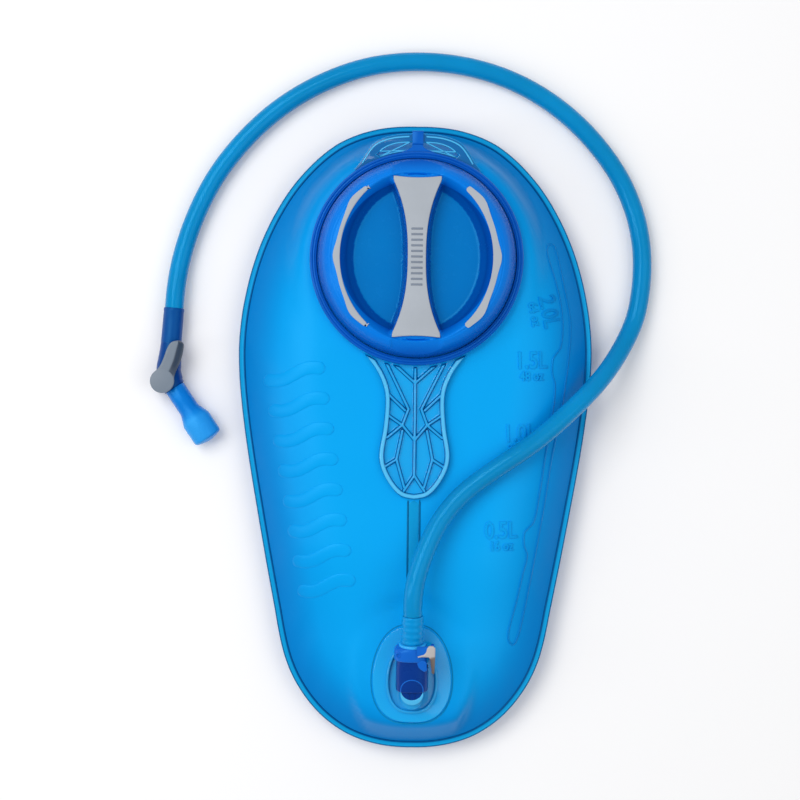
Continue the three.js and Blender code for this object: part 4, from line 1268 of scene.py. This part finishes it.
def egg(half_x, half_y, taper, middle, count=72):
    """An oval, narrower towards the cap."""
    angles = np.linspace(0, TURN, count, endpoint=False)
    across = np.sign(np.sin(angles)) * np.abs(np.sin(angles)) ** 0.75
    x = -half_x * across * (1 - taper * np.cos(angles))
    return np.column_stack([x, middle + half_y * np.cos(angles)])


def tray_egg(half_x):
    return egg(half_x, half_x + 5, 0.08, PORT_Y - 2)


def spout_circle(radius):
    return circle(radius, 0, 48)[:, :2] + (0, SPOUT_Y)


def port_base():
    """The clear flange on the film, the tray round the outlet and the spout."""
    flange = plate([egg(21.4, 26.35, 0.1, PORT_Y), spout_circle(4)], BASE_BOTTOM, BASE_TOP, 0.45, 3)
    tray = plate([tray_egg(14.1), tray_egg(12.7)], BASE_TOP - 0.3, 31.2, 0.5, 3)
    rim, inside = spout_circle(5.7), spout_circle(5.05)
    tray_floor = plate([tray_egg(12.8), rim], BASE_TOP, BASE_TOP + 0.3, 0.1, 1)
    spout_rim = plate([rim, inside], BASE_TOP, 38.1, 0.25, 2)
    spout_top = plate([inside], 37.8, 38.3, 0.1, 1)
    shape = joined(flange, tray, tray_floor, spout_rim, spout_top)
    # painted shade along the walls of the tray and spout, where the ramp passes its dark middle; their tops
    # near its paler upper end
    tint_and_shade = 0.03 + 0.8 * smoothstep(shape[0][:, 2], BASE_TOP + 0.02, BASE_TOP + 0.1)
    piece("port_flange", shape, CLEAR, "reservoir", ["port_base"], tint_and_shade)


def port_outline():
    """The thin weld line round the flange."""
    shape = bead(egg(22.4, 27.4, 0.1, PORT_Y, 120), 0.6, 0.2, closed=True)
    tint_and_shade = np.full(len(shape[0]), 0.17)
    piece("port_weld_line", shape, WELD_BLUE, "reservoir", tint_and_shade=tint_and_shade)


def spigot_ribs():
    """Two ribs along the tongue below the connector."""
    lines = [spaced([(x, -13.2, 5.2), (x, -10.1, 5.2)], 12) for x in (-1.5, 1.5)]
    ribs = [loft(tube_rings(line, 0.45, 10), cap=True) for line in lines]
    shape = placed(joined(*ribs), at_port)
    piece("spigot_ribs", shape, CONNECTOR_BLUE, "reservoir")


def spigot_cradle():
    """The clear moulding that holds the end of the outlet's hub."""
    angles = np.linspace(-math.pi * 0.98, -math.pi * 0.02, 40)
    outer = np.column_stack([6.2 * np.cos(angles), -10.5 + 6.2 * np.sin(angles)])
    inner = np.column_stack([6.0 * np.cos(angles), -8 + 6 * np.sin(angles)])
    shape = plate([np.vstack([outer, inner[::-1]])], 4.9, 5.6, 0.15, 2)
    # near the top of the clear ramp: a painted highlight along the arc
    tint_and_shade = np.full(len(shape[0]), 0.97)
    piece("spigot_cradle", placed(shape, at_port), CLEAR, "reservoir", tint_and_shade=tint_and_shade)


port_base()
port_outline()
spigot_ribs()
spigot_cradle()

# ---------------------------------------------------------------- quick connector

def oval_ring(half_x, half_z, place, sides=72, power=2.6):
    """A rounded-square ring across the connector's axis."""
    angles = np.linspace(0, TURN, sides, endpoint=False)
    c, s = np.cos(angles), np.sin(angles)
    x = half_x * np.sign(c) * np.abs(c) ** (2 / power)
    z = half_z * np.sign(s) * np.abs(s) ** (2 / power)
    return np.column_stack([x, np.full(sides, place), z])


def ovals(places):
    return [oval_ring(half_x, half_z, place) for half_x, half_z, place in places]


def rounds(places):
    return [oval_ring(radius, radius, place, power=2) for radius, place in places]


def recessed(ring):
    """A ring with the button's recess taken out of its right side."""
    return np.column_stack([np.minimum(ring[:, 0], RECESS_X), ring[:, 1], ring[:, 2]])


def connector():
    """The barrel with its socket, the collar over it and a bright ring where the hose leaves."""
    barrel = [
        *ovals([(8.3, 6.5, -9.6), (8.7, 6.9, -9.3), (8.8, 7, -8.7), (8.8, 7, -4), (8.8, 7, 3.6)]),
        *[recessed(ring) for ring in ovals([(8.8, 7, 3.7), (8.8, 7, 7.4), (9, 7.2, 8)])],
        *rounds([(5.4, 8), (5.4, -4), (5.4, -9.2), (5.7, -9.6)]),
    ]
    shape = placed(loft(barrel, wrap=True), at_port)
    piece("connector_barrel", shape, CONNECTOR_BLUE, "drink_tube", ["connector_housing"],
          crease=50)
    outside = ovals([
        (9.2, 7.4, 8), (9.7, 7.8, 8.2), (9.9, 8, 8.8), (9.9, 8, 12.6), (9.6, 7.9, 13.8), (8.8, 7.7, 14.8),
    ])
    collar = [
        *[recessed(ring) for ring in outside],
        oval_ring(7.7, 7.4, 15.4, power=2.2),
        *rounds([(6.4, 15.7), (3, 15.7), (3, 15), (5.4, 15), (5.4, 8)]),
    ]
    shape = placed(loft(collar, wrap=True), at_port)
    piece("connector_collar", shape, COLLAR_BLUE, "drink_tube", crease=50)
    ring = lathe_y(rounded([(3.2, 14.9), (7.4, 15), (7.4, 16.7), (3.2, 16.9)], 0.6), 64)
    piece("connector_ring", placed(ring, at_port), SEAL_CYAN, "drink_tube")


def connector_details():
    """The arch line on the barrel, the wing under the button and the hinge pin."""
    bow = [(6 * math.cos(a), -8 + 6 * math.sin(a)) for a in np.linspace(0, math.pi, 30)]
    arch = spaced([(6, -9.2), *bow, (-6, -9.2)], 60)
    line = [(x, y, 7 * (1 - (abs(x) / 8.8) ** 2.6) ** (1 / 2.6)) for x, y in arch]
    arch_bead = loft(tube_rings(line, 0.32, 10), cap=True)
    wing = rounded([(2.2, 8.6), (6, 9.6), (7.9, 8.4), (8.1, 3.6), (6.6, 2.6), (3.4, 4.8)], 1.4, 4)
    pin = [(0, 0), (1.5, 0), (1.5, 0.9), (0.9, 0.9), (0.9, 0.3), (0, 0.3)]
    pin = lathe_z(rounded(pin, 0.15, closed=False), 24, False)
    pin = placed(pin, lambda points: moved(points, (-7.6, 12, 6.2)))
    shape = placed(joined(arch_bead, plate([wing], 5.2, 7.6, 0.7, 3), pin), at_port)
    piece("connector_details", shape, COLLAR_BLUE, "drink_tube")


def latch_pad():
    """The grey cap of the latch button, L-shaped from above."""
    outline = rounded([
        (2.6, 12.3), (6.2, 13.4), (7.4, 14.8), (7.8, 17), (9, 18.1), (11.2, 18.1), (12.3, 17), (12.3, 12),
        (12, 2.9), (11.4, 2.2), (10.5, 2.9), (9.6, 10.6), (8.9, 11.9), (3, 11.9),
    ], 0.5, 3)
    shape = plate([outline], 8.0, 9.9, 0.6, 3)
    # painted shadow, darker down the button's leg
    tint_and_shade = smoothstep(shape[0][:, 1] - 0.3 * shape[0][:, 0], 7.0, 9.2)
    piece("latch_button_pad", placed(shape, at_port), BUTTON_GREY, "latch", tint_and_shade=tint_and_shade)


def lower_cuff():
    """The clear blue sleeve that holds the hose on the connector."""
    ripples = [(5.95 + 0.14 * math.cos((y - 17.6) / 3.6 * TURN), y) for y in np.linspace(17.6, 30.6, 43)]
    profile = [(3.75, 17.1), (5.95, 17.1), *ripples, (5.8, 31.6), (5.45, 32.3), (3.75, 32.3)]
    shape = placed(lathe_y(profile, 56), at_port)
    piece("lower_cuff", shape, CUFF_BLUE, "drink_tube", ["hose_cuff_lower"], crease=50)


connector()
connector_details()
latch_pad()
lower_cuff()

# ---------------------------------------------------------------- shut-off valve and bite valve

def upper_sleeve():
    """The rubber sleeve that holds the hose on the shut-off valve."""
    profile = [
        (3.35, 0.02), (5.7, 0.02), (5.75, 0.4), (5.72, 4), (5.66, 12), (5.6, 17.6), (5.75, 18),
        (5.75, 18.9), (5.45, 19.65), (3.35, 19.65),
    ]
    shape = placed(lathe_y(profile, 56), at_sleeve)
    piece("upper_sleeve", shape, SLEEVE_BLUE, "drink_tube", ["hose_cuff_upper"], crease=50)


def valve_shell():
    """A bent pipe that swells at the valve, with the barrel that holds the turning core."""
    into_elbow = at_sleeve([(0, -4 * i, 0) for i in range(5)])
    out_of_elbow = at_outlet([(0, y, 0) for y in (2, 3.6, BITE_START - 0.2)])
    path = smooth_line(np.vstack([into_elbow, out_of_elbow]), 60)
    along = np.linspace(0, line_length(path), len(path))
    radii = np.interp(along, [0, 4, 12, 17, 21, along[-1]], [5.72, 5.9, 6.8, 6.9, 6.9, 6.2])
    pipe = loft(tube_rings(path, radii, 40), cap=True)
    barrel = lathe_z(rounded([
        (0, 0.4), (6.5, 0.4), (6.5, BARREL_TOP), (5.4, BARREL_TOP), (5.3, 13.9), (0, 13.9),
    ], 0.4, closed=False), 64, False)
    nipple = lathe_y([(0, 4), (3.6, 4), (3.6, 19), (3.2, 19.5), (0, 19.5)], 32, False)
    plug = lathe_y([(0, -0.5), (2.9, -0.5), (2.7, 20.5), (2.4, 21.5), (0, 21.5)], 32, False)
    shape = joined(pipe, placed(barrel, at_core), placed(nipple, at_outlet), placed(plug, at_sleeve))
    piece("valve_shell", shape, VALVE_BLUE, "drink_tube", ["shutoff_valve_body"])


LEVER_LEFT = [
    (-146.8, 31.2), (-145.2, 34), (-141.9, 37.4), (-139.5, 42.6), (-137.4, 48.2), (-135.2, 51.2),
    (-132.6, 52.1),
]
LEVER_RIGHT = [
    (-133.8, 28.6), (-133.6, 32.2), (-132.4, 36), (-130.2, 41.5), (-128.9, 47), (-128.9, 50.4),
    (-130.6, 52.2),
]


def lever():
    """A disc over the core, and an arm with a pale top and one side bent down, which takes painted shade.
    """
    left, right = smooth_line(LEVER_LEFT, 48), smooth_line(LEVER_RIGHT, 48)
    across = np.linspace(0, 1, 25)
    along = np.linspace(0, 1, 48)
    top_rows, bottom_rows, shades = [], [], []
    for t, a, b in zip(along, left, right):
        flat = mix(a[None, :], b[None, :], across[:, None])
        fold = mix(0.62, 0.5, t)
        # painted shade on the bent-down side
        shade = smoothstep(across, fold, fold + 0.1) * smoothstep(t, 0.05, 0.2)
        shades.append(np.concatenate([shade, shade[::-1]]))
        fall = smoothstep(across, fold, 1.0) * mix(0.1, 2.9, smoothstep(t, 0.12, 0.45))
        edge = 0.5 * (1 - np.sqrt(np.clip(1 - (1 - np.minimum(across / 0.12, 1)) ** 2, 0, 1)))
        tip = 0.9 * smoothstep(t, 0.92, 1.0)
        height = 16.85 - fall - edge - tip
        under = np.maximum(height - 1.9, 14.5 - fall * 0.55)
        top_rows.append(np.column_stack([flat, height]))
        bottom_rows.append(np.column_stack([flat, np.minimum(under, height - 0.3)])[::-1])
    arm = loft(np.concatenate([np.array(top_rows), np.array(bottom_rows)], axis=1), cap=True)
    disc = rounded([(0, 14.5), (6.7, 14.5), (6.7, 16.9), (0, 16.9)], 0.55, closed=False)
    disc = lathe_z(disc, 72, False)
    shape = joined(arm, placed(disc, at_core))
    tint_and_shade = np.concatenate([np.ravel(shades), np.zeros(len(disc[0]))])
    piece("lever_arm", shape, LEVER_GREY, "shutoff", ["shutoff_lever"], tint_and_shade, crease=44)


def bite_valve():
    """The soft mouthpiece: a round stem that opens into a wide, flatter end."""
    profile = [
        (3.9, BITE_START), (5.5, BITE_START), (5.7, 5.4), (5.7, 14), (5.7, 19.4), (6.05, 20.8),
        (7.4, 24.2), (8.1, 25.9), (8.25, 26.6), (8.25, 37), (8.1, 37.8), (7.6, 38.5), (6.6, 39),
        (4.2, 39.7), (2.2, 40.1), (0, 40.3), (0, 38.6), (5.4, 37.4), (6.3, 27), (4.6, 23.4), (3.9, 22.6),
    ]
    points, faces = lathe_y(profile, 72)
    open_end = smoothstep(points[:, 1], 19.8, 26.2)
    points[:, 2] *= mix(1, 0.78, open_end)
    tint_and_shade = open_end * (0.75 + 0.25 * smoothstep(points[:, 0], -6, 4))
    shape = placed((points, faces), at_outlet)
    piece("bite_valve_sleeve", shape, SILICONE, "drink_tube", ["bite_valve"], tint_and_shade, crease=40)


upper_sleeve()
valve_shell()
lever()
bite_valve()

tuple(at_port([(0, HOSE_START, 0)])[0] * MM)

# ---------------------------------------------------------------- CAD nodes that stay

KEPT_NODES = {
    "centre_baffle": FILM_BLUE,
    "port_spigot": CONNECTOR_BLUE,
    "cap_gasket": SEAL_BLACK,
    "spigot_oring": SEAL_BLACK,
    "check_valve_poppet": GRIP_GREY,
    "poppet_seal": SEAL_BLACK,
    "check_valve_spring": STEEL,
    # the button is grey plastic; its body takes the collar's blue as painted shade, so what shows beside
    # the pad reads as shadow
    "latch_button": COLLAR_BLUE,
    "latch_spring": STEEL,
    "valve_core": GRIP_GREY,
    "core_oring_bottom": SEAL_BLACK,
    "core_oring_top": SEAL_BLACK,
}


def dress(node, material):
    """Gives a CAD node its material and takes the sharpness off its edges."""
    for slot in node.material_slots:
        slot.link = "OBJECT"
        slot.material = material
    edges = node.modifiers.new("edges", "BEVEL")
    edges.width = 0.2 * MM
    edges.segments = 2
    edges.limit_method = "ANGLE"
    edges.angle_limit = math.radians(40)


for node_name, node_material in KEPT_NODES.items():
    dress(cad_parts[node_name], node_material)

# ---------------------------------------------------------------- floor and light

def floor():
    """A pale plane just under the bag."""
    reach, height = 4, -0.0005
    corners = [(x * reach, y * reach, height) for x, y in ((-1, -1), (1, -1), (1, 1), (-1, 1))]
    mesh = bpy.data.meshes.new("floor")
    mesh.from_pydata(corners, [], [(0, 1, 2, 3)])
    made = bpy.data.objects.new("floor", mesh)
    scene.collection.objects.link(made)
    material = new_material("floor", 0.9)
    paint(material, colour_by_noise(material, srgb(250, 250, 251), 0.004, 3))
    mesh.materials.append(material)


def softbox(name, place, size, power, aim=(0, 0.02, 0.02)):
    light = bpy.data.lights.new(name, "AREA")
    light.shape = "RECTANGLE"
    light.size, light.size_y = size
    light.energy = power
    made = bpy.data.objects.new(name, light)
    made.location = place
    made.rotation_euler = (Vector(aim) - Vector(place)).to_track_quat("-Z", "Y").to_euler()
    scene.collection.objects.link(made)


def lights():
    """A pale sky and three soft boxes above the bag."""
    world = bpy.data.worlds.new("world")
    world.use_nodes = True
    sky = world.node_tree.nodes["Background"].inputs
    sky["Color"].default_value = (1, 1, 1, 1)
    sky["Strength"].default_value = 0.5
    scene.world = world
    softbox("key", (-0.7, 0.55, 1.5), (1.0, 1.0), 12.5)
    softbox("fill", (0.8, -0.2, 1.4), (1.2, 1.2), 5)
    softbox("strip", (-0.9, -0.1, 0.8), (0.2, 1.0), 2.4)


floor()
lights()
scene.view_settings.view_transform = "Standard"
